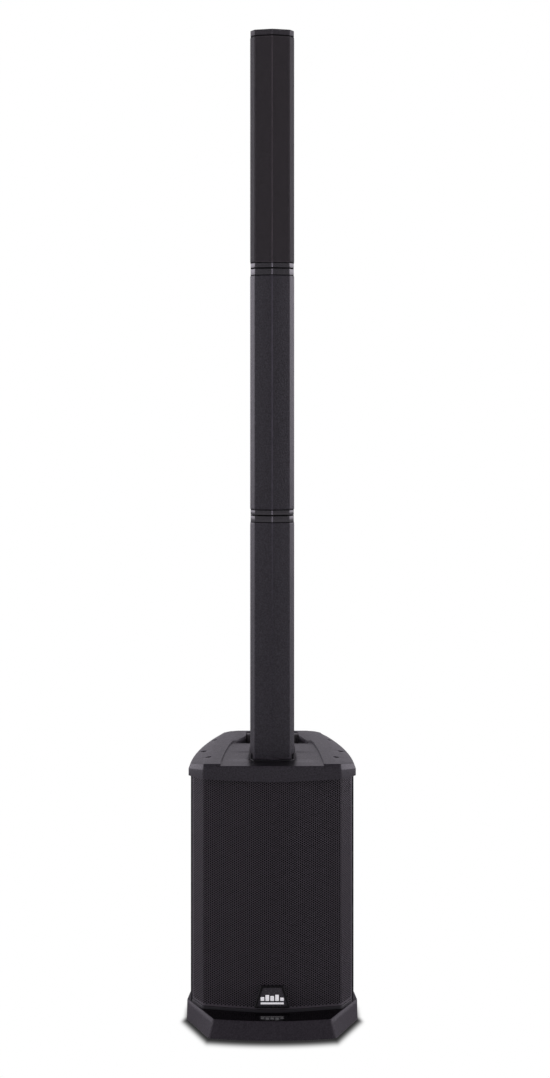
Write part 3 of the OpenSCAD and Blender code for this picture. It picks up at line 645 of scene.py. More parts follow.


# ridge sets how strong the painted highlight on the column's front ridge is.
MATERIALS = {
    "tube": moulded("tube_paint", (0.0230, 0.0212, 0.0262), rough=0.34, grain=1300, bump=0.5,
                    dist=0.25, mid=0.75, mid_bump=1.0, wear=0.10, cells=420, ridge=4.0),
    "array_shell": moulded("array_paint", (0.0160, 0.0149, 0.0160), rough=0.44, grain=1300,
                           bump=0.5, dist=0.25, mid=0.5, mid_bump=0.7, wear=0.10, spec=0.16,
                           cells=420),
    "cap_plastic": moulded("cap_plastic", (0.0330, 0.0303, 0.0355), rough=0.36, grain=1700,
                           bump=0.40, dist=0.16, mid=0.7, mid_bump=0.7, wear=0.12, column_shade=True),
    "end_cap": moulded("end_cap_plastic", (0.0200, 0.0190, 0.0212), rough=0.20, grain=1900,
                       bump=0.12, dist=0.05, mid=0.3, wear=0.10, spec=1.0, ridge=18.0),
    "array_cap": moulded("array_cap_plastic", (0.0460, 0.0430, 0.0465), rough=0.42, grain=1900,
                         bump=0.25, dist=0.08, mid=0.3, spec=0.2, ridge=2.2),
    # Painted shade: near-black on the CAD end caps, whose necks show only in the grooves between
    # the column's sections and rims.
    "neck_shade": moulded("neck_shade_plastic", (0.0050, 0.0048, 0.0052), rough=0.60, grain=1500, bump=0.3,
                    dist=0.1, spec=0.15),
    "foot": moulded("foot_plastic", (0.0390, 0.0352, 0.0408), rough=0.38, grain=2200, bump=0.16,
                    dist=0.07, mid=0.35, mid_bump=0.2, spec=0.15, tilt=(0.20, 0.28)),
    "kerb": moulded("kerb_plastic", (0.0150, 0.0142, 0.0165), rough=0.36, grain=2200, bump=0.2,
                    dist=0.08),
    "cabinet": moulded("cabinet_paint", (0.0150, 0.0145, 0.0160), rough=0.48, grain=900,
                       bump=0.8, dist=0.35, fleck=0.12, cells=330),
    "grille": moulded("grille_coat", (0.0615, 0.0538, 0.0624), rough=0.44, grain=2600,
                      bump=0.06, dist=0.05, spec=0.68, var=0.08),
    "array_grille": moulded("array_grille_coat", (0.0420, 0.0365, 0.0390), rough=0.50,
                            grain=2600, bump=0.2, dist=0.05, spec=0.4, mid=0.3, ridge=3.2),
    "foam": moulded("open_foam", (0.0035, 0.0033, 0.0035), rough=0.95, grain=700, bump=1.0,
                    dist=0.8, spec=0.1),
    "cloth": fabric("backing_cloth", (0.012, 0.009, 0.0095), (0.024, 0.018, 0.018), scale=1400),
    "dark": moulded("dark_plastic", (0.0080, 0.0080, 0.0085), rough=0.45, grain=1500, bump=0.3,
                    dist=0.12),
    "gloss": moulded("gloss_black", (0.0060, 0.0060, 0.0068), rough=0.16, grain=3000, bump=0.05,
                     dist=0.03, coat=0.4),
    "bezel": moulded("bezel_plastic", (0.0045, 0.0043, 0.0048), rough=0.30, grain=2400,
                     bump=0.10, dist=0.04, spec=0.3),
    "badge": moulded("badge_face", (0.0450, 0.0415, 0.0470), rough=0.26, grain=2400, bump=0.10,
                     dist=0.04),
    "grip": moulded("grip_plastic", (0.0520, 0.0480, 0.0500), rough=0.42, grain=1200, bump=0.5,
                    dist=0.2, wear=0.12),
    "silver": glowing_white_mark(),
    "steel": metal("zinc_steel", (0.55, 0.55, 0.57), rough=0.35),
    "blackscrew": metal("black_oxide", (0.05, 0.05, 0.052), rough=0.38, metallic=0.8),
    "brass": metal("gold_flash", (0.83, 0.60, 0.24), rough=0.25),
    "copper": metal("enamelled_copper", (0.70, 0.33, 0.14), rough=0.32, brushed=(1, 30, 1)),
    "ferrite": moulded("ferrite", (0.045, 0.045, 0.048), rough=0.62, grain=1400, bump=0.5,
                       dist=0.15),
    "basket": moulded("basket_paint", (0.020, 0.020, 0.021), rough=0.40, grain=1800, bump=0.3,
                      dist=0.1, wear=0.25),
    "anodised": metal("anodised_panel", (0.022, 0.022, 0.024), rough=0.42, brushed=(1, 1, 12),
                      metallic=0.6, scale=300),
    "alu": metal("extruded_aluminium", (0.62, 0.62, 0.64), rough=0.34, brushed=(1, 1, 0.1),
                 scale=700),
    "board": moulded("solder_mask", (0.018, 0.110, 0.040), rough=0.32, grain=600, bump=0.5,
                     dist=0.2, coat=0.3, fleck=0.5, fleck_scale=260,
                     fleck_col=(0.55, 0.50, 0.36)),
    "psu": moulded("psu_parts", (0.25, 0.21, 0.06), rough=0.50, grain=500, bump=0.5, dist=0.3,
                   var=0.5),
    "rubber": moulded("soft_rubber", (0.0140, 0.0140, 0.0145), rough=0.70, grain=1100, bump=0.5,
                      dist=0.15, spec=0.3),
    "paper": moulded("doped_pulp", (0.0240, 0.0230, 0.0220), rough=0.72, grain=420, bump=0.9,
                     dist=0.25, var=0.3, spec=0.3),
    "cap_paper": moulded("dust_cap_pulp", (0.0150, 0.0150, 0.0150), rough=0.55, grain=600,
                         bump=0.6, dist=0.15),
    "spider": fabric("spider_cloth", (0.30, 0.20, 0.09), (0.52, 0.38, 0.20), scale=1500),
    "wood": moulded("stained_board", (0.0180, 0.0165, 0.0150), rough=0.65, grain=180, bump=0.6,
                    dist=0.3, var=0.4),
    "wire": moulded("wire_jacket", (0.20, 0.012, 0.012), rough=0.45, grain=900, bump=0.3,
                    dist=0.08, var=0.3),
    "knob": moulded("knob_soft", (0.0130, 0.0130, 0.0140), rough=0.58, grain=1600, bump=0.3,
                    dist=0.08, wear=0.3),
    "btn_blue": moulded("button_blue", (0.020, 0.055, 0.220), rough=0.40, grain=1600, bump=0.2,
                        dist=0.06),
    "btn_grey": moulded("button_grey", (0.180, 0.180, 0.190), rough=0.45, grain=1600, bump=0.2,
                        dist=0.06),
    "led": led_lens(),
}


def paint(o, key):
    o.data.materials.clear()
    o.data.materials.append(MATERIALS[key])
    for p in o.data.polygons:
        p.material_index = 0


def repaint(name, key, edge):
    """New material on a CAD node and, if edge is given, edges softened by that much."""
    o = nodes[name]
    if not o.material_slots:
        o.data.materials.append(MATERIALS[key])
    for slot in o.material_slots:
        slot.link = "DATA"
        slot.material = MATERIALS[key]
    if edge:
        weld = o.modifiers.new("weld", "WELD")
        weld.merge_threshold = 0.005 * MM
        add_bevel(o, edge)


def piece(o, body, key, stands_for=None):
    """Paints an object and hangs it on a body, in place of a CAD node if one is named."""
    paint(o, key)
    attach(o, body)
    if stands_for:
        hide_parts(stands_for)


# ------------------------------------------------------------------ foot


def foot_body():
    radius, rim, lower_round = 8.0, 12.0, 1.4
    z0, z1 = heights("foot_tray")
    # underside: the recess ceiling, its wall and the rim
    stack = [(plan(FOOT_LOW, radius, rim), 27.0), (plan(FOOT_LOW, radius, rim), z0 + 0.6),
             (plan(FOOT_LOW, radius, 11.4), z0)]
    for d, z in ((1.4, 0.0), (0.5, 0.4), (0.0, lower_round)):
        stack.append((plan(FOOT_LOW, radius, d), z0 + z))
    for t in (0.25, 0.5, 0.75, 0.93):
        z = z0 + lower_round + (z1 - lower_round - z0) * t
        stack.append((fillet(lerp(FOOT_LOW, FOOT_TOP, t), radius, 4), z))
    for d, z in ((0.15, 1.5), (0.5, 0.8), (1.1, 0.3), (2.0, 0.04), (3.0, 0.0)):
        stack.append((plan(FOOT_TOP, radius, d), z1 - z))
    return rings("foot_body", stack, smooth=30)


def foot_ribs():
    thick, top = 4, 27.5
    boss = [[0, 27.4], [19, 27.4], [19, 2.6], [18.4, 2.0], [14.3, 2.0], [14.2, 5.0], [0, 5.0]]
    ribs = [block(-w, w, y, y + thick, 3.0, top) for y, w in ((60, 160), (200, 148))]
    ribs += [block(x, x + thick, -34, 356, 3.4, top) for x in (-62, 58)]
    ribs += [turned(boss, (x, y + FRONT_Y, 0), n=48)
             for x, y in ((120, 18), (88, 318), (-120, 18), (-88, 318))]
    return join("foot_ribs", ribs)


def foot():
    body, ribs = foot_body(), foot_ribs()
    piece(body, "base", "foot", "foot_tray")
    piece(ribs, "base", "dark")


def kerb():
    """A strip along the foot of the grille, cut off flush at both sides."""
    outline = shift(GRILLE, 2.2) + shift(GRILLE, -5.0)[::-1]
    z0, z1 = heights("kerb_trim")
    stack = [(outline, z0), (outline, z1 - 0.9)]
    stack += [(inset(outline, d), z1 - z) for d, z in ((0.12, 0.5), (0.4, 0.15), (0.9, 0.0))]
    o = rings("kerb_strip", stack, smooth=40)
    for s in (-1, 1):
        boolean(o, block(*sorted((s * 161.9, s * 200)), -20, 200, z0 - 5, z1 + 5))
    piece(shade(o, 40), "base", "kerb", "kerb_trim")


# ------------------------------------------------------------------ perforated sheets


def path_sampler(path):
    """Returns a function from arc length to points and outward normals, and the full length."""
    pts = np.array([list(p) for p in path], float)
    steps = np.linalg.norm(np.diff(pts, axis=0), axis=1)
    length = np.concatenate([[0], np.cumsum(steps)])
    reach = 0.8  # half the run the tangent is taken over

    def at(s):
        x = np.interp(s, length, pts[:, 0])
        y = np.interp(s, length, pts[:, 1])
        dx, dy = (np.interp(s + reach, length, pts[:, i]) - np.interp(s - reach, length, pts[:, i])
                  for i in (0, 1))
        norm = np.hypot(dx, dy)
        return x, y, dy / norm, -dx / norm

    return at, length[-1]


def perforated(name, path, s_range, z_range, pitch, row, hole, thick, dimple=0.12,
               part=(0.0, 1.0)):
    """Sheet along a path with staggered holes of radius hole, each in a hexagonal cell.

    Rims are pressed in by dimple and walls run back to thick. pitch is the column spacing and
    row the spacing down a column; part picks a run of columns so two meshes meet unseen."""
    sides = 8
    at, _ = path_sampler(path)
    s0, s1 = s_range
    z0, z1 = z_range
    columns = int(round((s1 - s0) / pitch))
    pitch = (s1 - s0) / columns
    rows = int((z1 - z0) / row)
    row = (z1 - z0) / rows
    points, faces, seen = [], [], {}

    def vertex(s, z, depth):
        s = min(max(s, s0), s1)
        z = min(max(z, z0), z1)
        key = (round(s * 200), round(z * 200), round(depth * 100))
        if key not in seen:
            seen[key] = len(points)
            points.append((s, z, depth))
        return seen[key]

    hexagon = [(2 * pitch / 3, 0), (pitch / 3, row / 2), (-pitch / 3, row / 2),
               (-2 * pitch / 3, 0), (-pitch / 3, -row / 2), (pitch / 3, -row / 2)]
    hole_angles = [2 * math.pi * k / sides for k in range(sides)]
    hex_angles = [math.atan2(h[1], h[0]) % (2 * math.pi) for h in hexagon]
    # the order in which a fan between hexagon and rim meets their corners
    events = sorted([(t, "hex", k) for k, t in enumerate(hex_angles)]
                    + [(t + 1e-4, "rim", k) for k, t in enumerate(hole_angles)])
    last_corner = max(range(6), key=lambda k: hex_angles[k])

    first = 0 if part[0] == 0 else int(columns * part[0]) + 1
    last = columns if part[1] == 1 else int(columns * part[1])
    for i in range(first, last + 1):
        for j in range(-1, rows + 1):
            cs = s0 + i * pitch
            cz = z0 + (j + 0.5) * row + (row / 2 if i % 2 else 0)
            whole = s0 + hole <= cs <= s1 - hole and z0 + hole <= cz <= z1 - hole
            corners = [vertex(cs + h[0], cz + h[1], 0.0) for h in hexagon]
            distinct = []
            for c in corners:
                if not distinct or (distinct[-1] != c and distinct[0] != c):
                    distinct.append(c)
            if len(distinct) < 3:
                continue
            if not whole:
                faces.append(tuple(distinct))
                continue
            rim, back = ([vertex(cs + hole * math.cos(t), cz + hole * math.sin(t), -depth)
                          for t in hole_angles] for depth in (dimple, thick))
            at_hex, at_rim = corners[last_corner], rim[-1]
            for _, kind, k in events:
                if kind == "hex":
                    if corners[k] != at_hex:
                        faces.append((at_hex, corners[k], at_rim))
                    at_hex = corners[k]
                else:
                    faces.append((at_hex, rim[k], at_rim))
                    at_rim = rim[k]
            for k in range(sides):
                q = (k + 1) % sides
                faces.append((rim[k], rim[q], back[q], back[k]))
    pts = np.array(points)
    x, y, nx, ny = at(pts[:, 0])
    x = x + nx * pts[:, 2]
    y = y + ny * pts[:, 2]
    verts = np.stack([x * MM, (y + FRONT_Y) * MM, pts[:, 1] * MM], 1).tolist()
    return shade(add_object(name, new_mesh(name, verts, faces)), 60)


def strip(name, path, s0, s1, z0, z1, d0, d1, n):
    """A solid strip along a path, from offset d0 to d1 outwards."""
    at, _ = path_sampler(path)
    x, y, nx, ny = at(np.linspace(s0, s1, n))
    outer, inner = ([[x[i] + nx[i] * d, y[i] + ny[i] * d] for i in range(n)] for d in (d1, d0))
    return rings(name, [(outer + inner[::-1], z0), (outer + inner[::-1], z1)], smooth=30)


def front_grille():
    border, overlap = 2.6, 0.3
    _, length = path_sampler(GRILLE)
    z0, z1 = heights("front_grille")
    low, high = z0 + border, z1 - border
    left, right = (
        perforated("grille_sheet_" + side, GRILLE, (border, length - border), (low, high),
                   pitch=3.80, row=4.57, hole=1.85, thick=1.0, part=part)
        for side, part in (("left", (0.0, 0.5)), ("right", (0.5, 1.0))))
    piece(left, "base", "grille", "front_grille")
    piece(right, "base", "grille")
    # s0, s1, z0, z1 and point count of the bottom, top, left and right borders
    spans = ((0, length, z0, low + overlap, 120), (0, length, high - overlap, z1, 120),
             (0, border + overlap, low, high, 4),
             (length - border - overlap, length, low, high, 4))
    edge = join("grille_edge", [strip("strip", GRILLE, *span, -1.2, 0.05, n)
                                for *span, n in spans])
    piece(edge, "base", "grille")


# ------------------------------------------------------------------ cap


def crown_half_width(y):
    """Half width of the level part of the cap's top."""
    return float(np.interp(y, [0, 60, 240, 334, 353], [136, 124, 120, 104, 75]))


def cap_fall(x, y):
    """How far the cap's top edge is below its crown."""
    level = crown_half_width(y)
    if abs(x) <= level or y > 345:
        return 0.0
    return 5.5 * min(1.0, (abs(x) - level) / max(4.0, side_x(y) - level))


def skirt_top(x, y):
    side_z = BAND_Z - 9
    if y < 33:
        return float(np.interp(abs(x), [131, 137.5, 168], [BAND_Z, BAND_Z - 3.6, side_z]))
    return side_z


def cap_skin():
    """The cap's outer form: a plumb skirt, a sloping shoulder and the crown."""
    radius = 5.0
    top = fillet(CAP_TOP, radius, 4) + [np.array([-130.0, 0.0]), np.array([130.0, 0.0])]
    skirt = fillet(CAP_SKIRT, radius, 4) + [np.array([-131.0, -4.5]), np.array([131.0, -4.5])]
    top_z = [CROWN_Z - cap_fall(*p) for p in top]
    skirt_z = [skirt_top(*p) for p in skirt]

    def ring(points, zs):
        return [to_m(p, z) for p, z in zip(points, zs)]

    n = len(skirt)
    stack = [ring(inset(skirt, 0.5), [CAP_BASE_Z] * n), ring(skirt, [CAP_BASE_Z + 0.6] * n),
             ring(skirt, [z - 1.0 for z in skirt_z])]
    # share of the way up the shoulder, and how far the ring sinks to round its edge
    for t, sink in ((0.02, 0.30), (0.08, 0.0), (0.5, 0.0), (0.90, 0.0), (0.97, 0.12)):
        zs = [a * (1 - t) + b * t - sink for a, b in zip(skirt_z, top_z)]
        stack.append(ring(lerp(skirt, top, t), zs))
    stack.append(ring(inset(top, 0.9), top_z))
    # two rings either side of the crease where the crown becomes level
    for d, offset in ((2.4, 2.0), (4.4, -2.0)):
        points, zs = [], []
        for p in inset(top, d):
            x = min(abs(p[0]), crown_half_width(p[1]) + offset) * (1 if p[0] > 0 else -1)
            points.append([x, p[1]])
            zs.append(CROWN_Z - (cap_fall(x, p[1]) if offset > 0 else 0.0))
        stack.append(ring(points, zs))
    o = rings("cap_body", stack, smooth=30)
    clean(o.data, merge=2e-5)
    return o


def cap_lip():
    """The front face's lower edge, dropping towards the middle."""
    half_width = 131
    xs = [(-half_width + 2 * half_width * i / 24) for i in range(25)]
    full = math.sqrt(half_width * half_width + 400) - 20
    low = [(x, CAP_BASE_Z - LIP_DROP * (1 - (math.sqrt(x * x + 400) - 20) / full)) for x in xs]
    verts, faces = [], []
    for y in (-4.5, -0.2):
        verts += [to_m((x, y), z) for x, z in low]
        verts += [to_m((x, y), CAP_BASE_Z + 0.8) for x in xs]
    k = len(xs)
    for i in range(k - 1):
        faces.append((i, i + 1, k + i + 1, k + i))
        faces.append((2 * k + i + 1, 2 * k + i, 3 * k + i, 3 * k + i + 1))
        faces.append((i + 1, i, 2 * k + i, 2 * k + i + 1))
        faces.append((k + i, k + i + 1, 3 * k + i + 1, 3 * k + i))
    faces.append((0, k, 3 * k, 2 * k))
    faces.append((k - 1, 3 * k - 1, 4 * k - 1, 2 * k - 1))
    return build("lip", verts, faces)


def cap_channel():
    """Cutter for the channel between the shoulders, ramping up to the crown at its rear."""
    ramp_y, ramp_run = 222, 24
    top = DECK_Z + 20
    stack = []
    for y in [-12] + list(range(0, 211, 15)) + [222, 226, 234, 242, 246]:
        w = 103.6 if y < 0 else 102.8 - 0.02 * y - 0.00022 * y * y
        t = min(1.0, max(0.0, (y - ramp_y) / ramp_run))
        z = DECK_Z + (CROWN_Z + 0.1 - DECK_Z) * (t * t * (3 - 2 * t))
        w -= 3.0 * t
        stack.append([to_m((-w, y), z), to_m((w, y), z), to_m((w - 1.0, y), top),
                      to_m((-w + 1.0, y), top)])
    return rings("channel", stack)


def screw_recess(x, y, fall):
    z = CROWN_Z - fall
    profile = [[0, z + 4], [6.6, z + 4], [6.6, z + 0.3], [6.0, z - 0.6], [6.0, z - 3.6],
               [2.6, z - 3.6], [2.6, z - 14], [0, z - 14]]
    return turned(profile, (x, y + FRONT_Y, 0), n=40)


def top_cap():
    o = cap_skin()
    boolean(o, cap_channel())
    boolean(o, cap_lip(), "UNION")
    boolean(o, prism("hollow", plan(CAP_SKIRT, 5.0, 5.0), CAP_BASE_Z - 20, DECK_Z - 8))
    bevel(o, 0.9, seg=3, angle=38, smooth=40)
    for outline in (fillet(inset(COLUMN, -0.25), 3, 4), fillet(POCKET, 4, 4)):
        boolean(o, prism("opening", outline, DECK_Z - 30, DECK_Z + 20))
    for s in (-1, 1):
        for x, y, fall in ((129, 71, 0.8), (141.5, 142, 3.2), (123.4, 255.5, 1.7)):
            boolean(o, screw_recess(s * x, y, fall))
    bevel(o, 0.5, seg=2, angle=50, smooth=32)
    piece(o, "base", "cap_plastic", "top_cap")


def handle_grip():
    """A slightly waisted superellipse bar across the body, with a pin at each end."""
    half_length = 55.75
    pin_y, pin_z, pin_radius, pin_end = 322.5, 517, 5, 58.4
    lo, hi = box_mm("handle_grip")
    cy, cz = (lo[1] + hi[1]) / 2, (lo[2] + hi[2]) / 2
    half_depth, half_height = (hi[1] - lo[1]) / 2, (hi[2] - lo[2]) / 2
    stack = []
    for i in range(41):
        t = -1 + 2 * i / 40
        end = 1.0 - 0.04 * max(0.0, (abs(t) - 0.97) / 0.03) ** 2
        waist = 0.985 + 0.015 * t * t
        ring = []
        for k in range(40):
            c, s = math.cos(2 * math.pi * k / 40), math.sin(2 * math.pi * k / 40)
            py = abs(c) ** 0.5 * (1 if c > 0 else -1)
            pz = abs(s) ** 0.5 * (1 if s > 0 else -1)
            ring.append((half_length * t * MM, (cy + half_depth * py * waist * end) * MM,
                         (cz + half_height * pz * waist * end) * MM))
        stack.append(ring)
    parts = [rings("bar", stack, smooth=50)]
    angles = [2 * math.pi * k / 24 for k in range(24)]
    for s in (-1, 1):
        parts.append(rings("pin", [
            [to_m((s * x, pin_y + pin_radius * math.cos(a)), pin_z + pin_radius * math.sin(a))
             for a in angles] for x in (half_length - 2, pin_end)]))
    piece(shade(join("grip_bar", parts), 50), "base", "grip", "handle_grip")


# ------------------------------------------------------------------ cabinet


def cabinet():
    z0, z1 = heights("cabinet_shell")
    walls = fillet(CABINET, 3.0, 4)
    levels = (z0, z0 + 120, z0 + 240, z0 + 360, z1)
    o = rings("cabinet_body", [(walls, z) for z in levels], smooth=30)
    boolean(o, prism("room", ROOM, z0 + WALL, z1 - WALL))
    # open front, with its upper corners cut out to the top
    front_y = 84.05
    boolean(o, block(-162.1, 162.1, 40, front_y, z0 - 5, z1 - WALL))
    for s in (-1, 1):
        boolean(o, block(*sorted((s * 140.5, s * 162.7)), 40, front_y, z0 + 300, z1 + 5))
    # rear opening, and the rebate round it for the amplifier panel
    lo, hi = box_mm("amp_panel")
    boolean(o, block(-60, 60, 340, 380, 112, 438))
    boolean(o, block(lo[0] - 0.5, hi[0] + 0.5, 357, 380, lo[2] - 0.5, hi[2] + 0.5))
    for outline in (COLUMN, POCKET):
        boolean(o, prism("opening", inset(outline, -4), z1 - 20, z1 + 20))
    bevel(o, 0.8, seg=2, angle=40, smooth=40)
    piece(o, "base", "cabinet", "cabinet_shell")


# ------------------------------------------------------------------ badge


def upright(points, y):
    """[x, z] points as a ring in the plane y, given in the model's own frame."""
    return [(p[0] * MM, y * MM, p[1] * MM) for p in points]


def trapezium(base, top, z0, z1, y):
    """A rounded upright trapezium; base and top are half widths."""
    return upright(fillet([[-base, z0], [base, z0], [top, z1], [-top, z1]], 2.2, 5), y)


def badge_frame():
    lo, hi = box_mm("badge_frame")
    y0, y1 = lo[1], hi[1]
    # half widths at base and top, z of base and top, y
    sections = ((35.4, 23, 48, 92, y1), (35.4, 23, 48, 92, y0 + 0.8),
                (34.9, 22.7, 48.4, 91.6, y0 + 0.25), (34.3, 22.2, 48.9, 91.1, y0),
                (32.3, 19.9, 50.0, 89.4, y0), (31.6, 19.2, 50.5, 88.9, y0 + 0.3),
                (31.3, 18.7, 50.8, 88.6, y0 + 1.0), (31.2, 18.6, 50.8, 88.6, y1))
    o = rings("badge_rim", [trapezium(*s) for s in sections], loop=True, smooth=40)
    piece(o, "base", "bezel", "badge_frame")


def badge_plate():
    lo, hi = box_mm("badge_plate")
    y0, y1 = lo[1], hi[1]
    # columns as in badge_frame
    sections = ((31, 18.4, 51, 88.2, y1), (31, 18.4, 51, 88.2, y0 + 0.4),
                (30.7, 18.2, 51.3, 88.0, y0 + 0.1), (30.3, 17.9, 51.6, 87.7, y0))
    o = rings("badge_face_plate", [trapezium(*s) for s in sections], smooth=40)
    piece(o, "base", "badge", "badge_plate")


def badge_mark():
    """Five plain upright bars over one level bar."""
    pitch, half_width, foot_z = 9.7, 3.6, 62.4
    lo, hi = box_mm("badge_mark")
    y0, y1 = lo[1], hi[1]
    spans = [(i * pitch - half_width, i * pitch + half_width, foot_z, foot_z + h)
             for i, h in zip(range(-2, 3), (7.5, 11.6, 9.6, 12, 6.4))]
    bars = []
    for x0, x1, z0, z1 in spans + [(-23, 23, 55.6, 59.2)]:
        stack = []
        for d, y in ((0, y1), (0, y0 + 0.25), (0.12, y0 + 0.08), (0.35, y0)):
            corners = [[x0 + d, z0 + d], [x1 - d, z0 + d], [x1 - d, z1 - d], [x0 + d, z1 - d]]
            stack.append(upright(fillet(corners, 0.8, 3), y))
        bars.append(rings("bar", stack))
    piece(join("badge_bars", bars), "base", "silver", "badge_mark")


# ------------------------------------------------------------------ column

# inset and distance from the end, for each ring of a softened end
TUBE_END = ((1.1, 0.0), (0.55, 0.25), (0.2, 0.8), (0.06, 1.8), (0.0, 3.5))
RIM_END = ((0.8, 0.0), (0.35, 0.1), (0.1, 0.35), (0.0, 0.8))


def column_stack(radii, ends, z0, z1, margin=0.0, middles=()):
    """Rings of the column's section from z0 to z1 with softened ends."""
    stack = [(plan(COLUMN, radii, margin + d, 6), z0 + z) for d, z in ends]
    stack += [(plan(COLUMN, radii, margin, 6), z0 + (z1 - z0) * t) for t in middles]
    stack += [(plan(COLUMN, radii, margin + d, 6), z1 - z) for d, z in ends[::-1]]
    return stack


def hollow(name, stack, radii, wall, z0, z1):
    """Closes a column stack through an inner wall."""
    inner = plan(COLUMN, radii, wall, 6)
    return rings(name, stack + [(inner, z1), (inner, z0)], loop=True, smooth=30)


def tube(name, node, body):
    z0, z1 = heights(node)
    stack = column_stack(TUBE_RADII, TUBE_END, z0, z1, middles=(0.25, 0.5, 0.75))
    piece(hollow(name, stack, TUBE_RADII, 3.0, z0, z1), body, "tube", node)


def end_rims():
    """Softened bands round the end-cap plates, where they show between the sections."""
    gap, proud, plate_drop = 1.35, 0.03, 10.5
    lower_top = heights("lower_tube")[1]
    middle_bottom, middle_top = heights("middle_tube")
    head_bottom, head_top = heights("top_shell")
    # name, CAD node, body, material, bottom, top, inset
    table = (
        ("lower_top_rim", "lower_top_cap", "lower_section", "end_cap",
         lower_top + gap, heights("lower_top_cap")[1] + proud, 0.8),
        ("middle_bottom_rim", "middle_bottom_cap", "middle_section", "end_cap",
         middle_bottom - plate_drop - proud, middle_bottom - gap, 0.8),
        ("middle_top_rim", "middle_top_cap", "middle_section", "end_cap",
         middle_top + gap, heights("middle_top_cap")[1] + proud, 0.8),
        ("top_bottom_rim", "top_bottom_cap", "top_section", "end_cap",
         head_bottom - plate_drop - proud, head_bottom - gap, 0.8),
        ("top_end_rim", "top_end_cap", "top_section", "array_cap",
         head_top + 2.5, heights("top_end_cap")[1] + proud, 0.6),
    )
    for name, node, body, key, z0, z1, margin in table:
        stack = column_stack(RIM_RADII, RIM_END, z0, z1, margin)
        o = hollow(name, stack, RIM_RADII, 3.4, z0, z1)
        piece(o, body, key)


def array_shell():
    """The column's section with its front facets cut back, hollowed and bored for the drivers."""
    z0, z1 = heights("top_shell")
    o = rings("array_shell", column_stack(TUBE_RADII, TUBE_END, z0, z1), smooth=30)
    facets = [[-35.3, 49.0], [0, 40.0], [35.3, 49.0]]
    boolean(o, prism("facets", shift(facets, 4) + shift(facets, -1.7)[::-1], z0 - 5, z1 + 5))
    recess = [[-35.0, 52.4], [-35.0, 63], [35.0, 63], [35.0, 52.4], [0, 42.0]][::-1]
    boolean(o, prism("recess", recess, z0 + 4, z1 - 4))
    room = both([[36, 69], [41.5, 71], [41.5, 126.5], [34.3, 138]])
    boolean(o, prism("room", room, z0 - 1, z1 + 1))
    bore = [[0, 61], [29.4, 61], [29.4, 71], [0, 71]]
    for z in driver_heights():
        boolean(o, turned(bore, (0, FRONT_Y, z), n=48, axis="y"))
    piece(o, "top_section", "array_shell", "top_shell")


def array_grille():
    """Fine perforated front over the two facets, its borders and the cloth behind it."""
    z0, z1 = heights("top_grille")
    xs = (-30, -20, -10, -5, -2.5, -1.2, 0, 1.2, 2.5, 5, 10, 20, 30)
    path = [[x, 41 + abs(x) * 9 / 35.6 + 0.35 * math.exp(-abs(x) / 1.2)] for x in xs]
    path = [[-35.0, 49.85]] + path + [[35.0, 49.85]]
    _, length = path_sampler(path)
    sheet = perforated("array_sheet", path, (0.8, length - 0.8), (z0 + 1.2, z1 - 1.2),
                       pitch=2.05, row=2.36, hole=0.80, thick=0.7, dimple=0.06)
    piece(sheet, "top_section", "array_grille", "top_grille")
    # s0, s1, z0, z1 and point count of the left, right, bottom and top borders
    spans = ((0, 1.2, z0, z1, 4), (length - 1.2, length, z0, z1, 4),
             (0, length, z0, z0 + 1.5, 30), (0, length, z1 - 1.5, z1, 30))
    edge = join("array_sheet_edge", [strip("strip", path, *span, -1.1, 0.02, n)
                                     for *span, n in spans])
    piece(edge, "top_section", "array_grille")
    cloth = strip("array_cloth", path, 0.6, length - 0.6, z0 + 0.5, z1 - 0.5, -1.5, -1.15, 30)
    piece(cloth, "top_section", "cloth")


# ------------------------------------------------------------------ soft parts


def soft(name, node, key, centres, r_in, r_out):
    """A surround or spider copied from its CAD node, which it hides; weights rising from its inner
    to its outer edge are worked out but not kept.

    centres are [x, z] of each ring's axis."""
    mesh = nodes[node].data.copy()
    o = add_object(name, mesh)
    clean(mesh, merge=1e-6, normals=False)
    shade(o, 45)
    paint(o, key)
    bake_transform(o)
    weights = np.zeros(len(mesh.vertices), np.float32)
    for i, v in enumerate(mesh.vertices):
        r = min(math.hypot(v.co.x - x * MM, v.co.z - z * MM) for x, z in centres) / MM
        t = min(1.0, max(0.0, (r - r_in) / (r_out - r_in)))
        weights[i] = t * t * (3 - 2 * t)
    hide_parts(node)


foot()
kerb()
front_grille()
top_cap()
handle_grip()
cabinet()
badge_frame()
badge_plate()
badge_mark()
tube("lower_body", "lower_tube", "lower_section")
tube("middle_body", "middle_tube", "middle_section")
array_shell()
array_grille()
end_rims()

woofer_axis = [(0, sum(heights("woofer_cone")) / 2)]
soft("surround_roll", "woofer_surround", "rubber", woofer_axis,
     r_in=99.0, r_out=109.5)
soft("spider_disc", "woofer_spider", "spider", woofer_axis,
     r_in=33.0, r_out=62.0)
soft("small_surrounds", "driver_surrounds", "rubber",
     [(0, z) for z in driver_heights()], r_in=23.6, r_out=28.4)

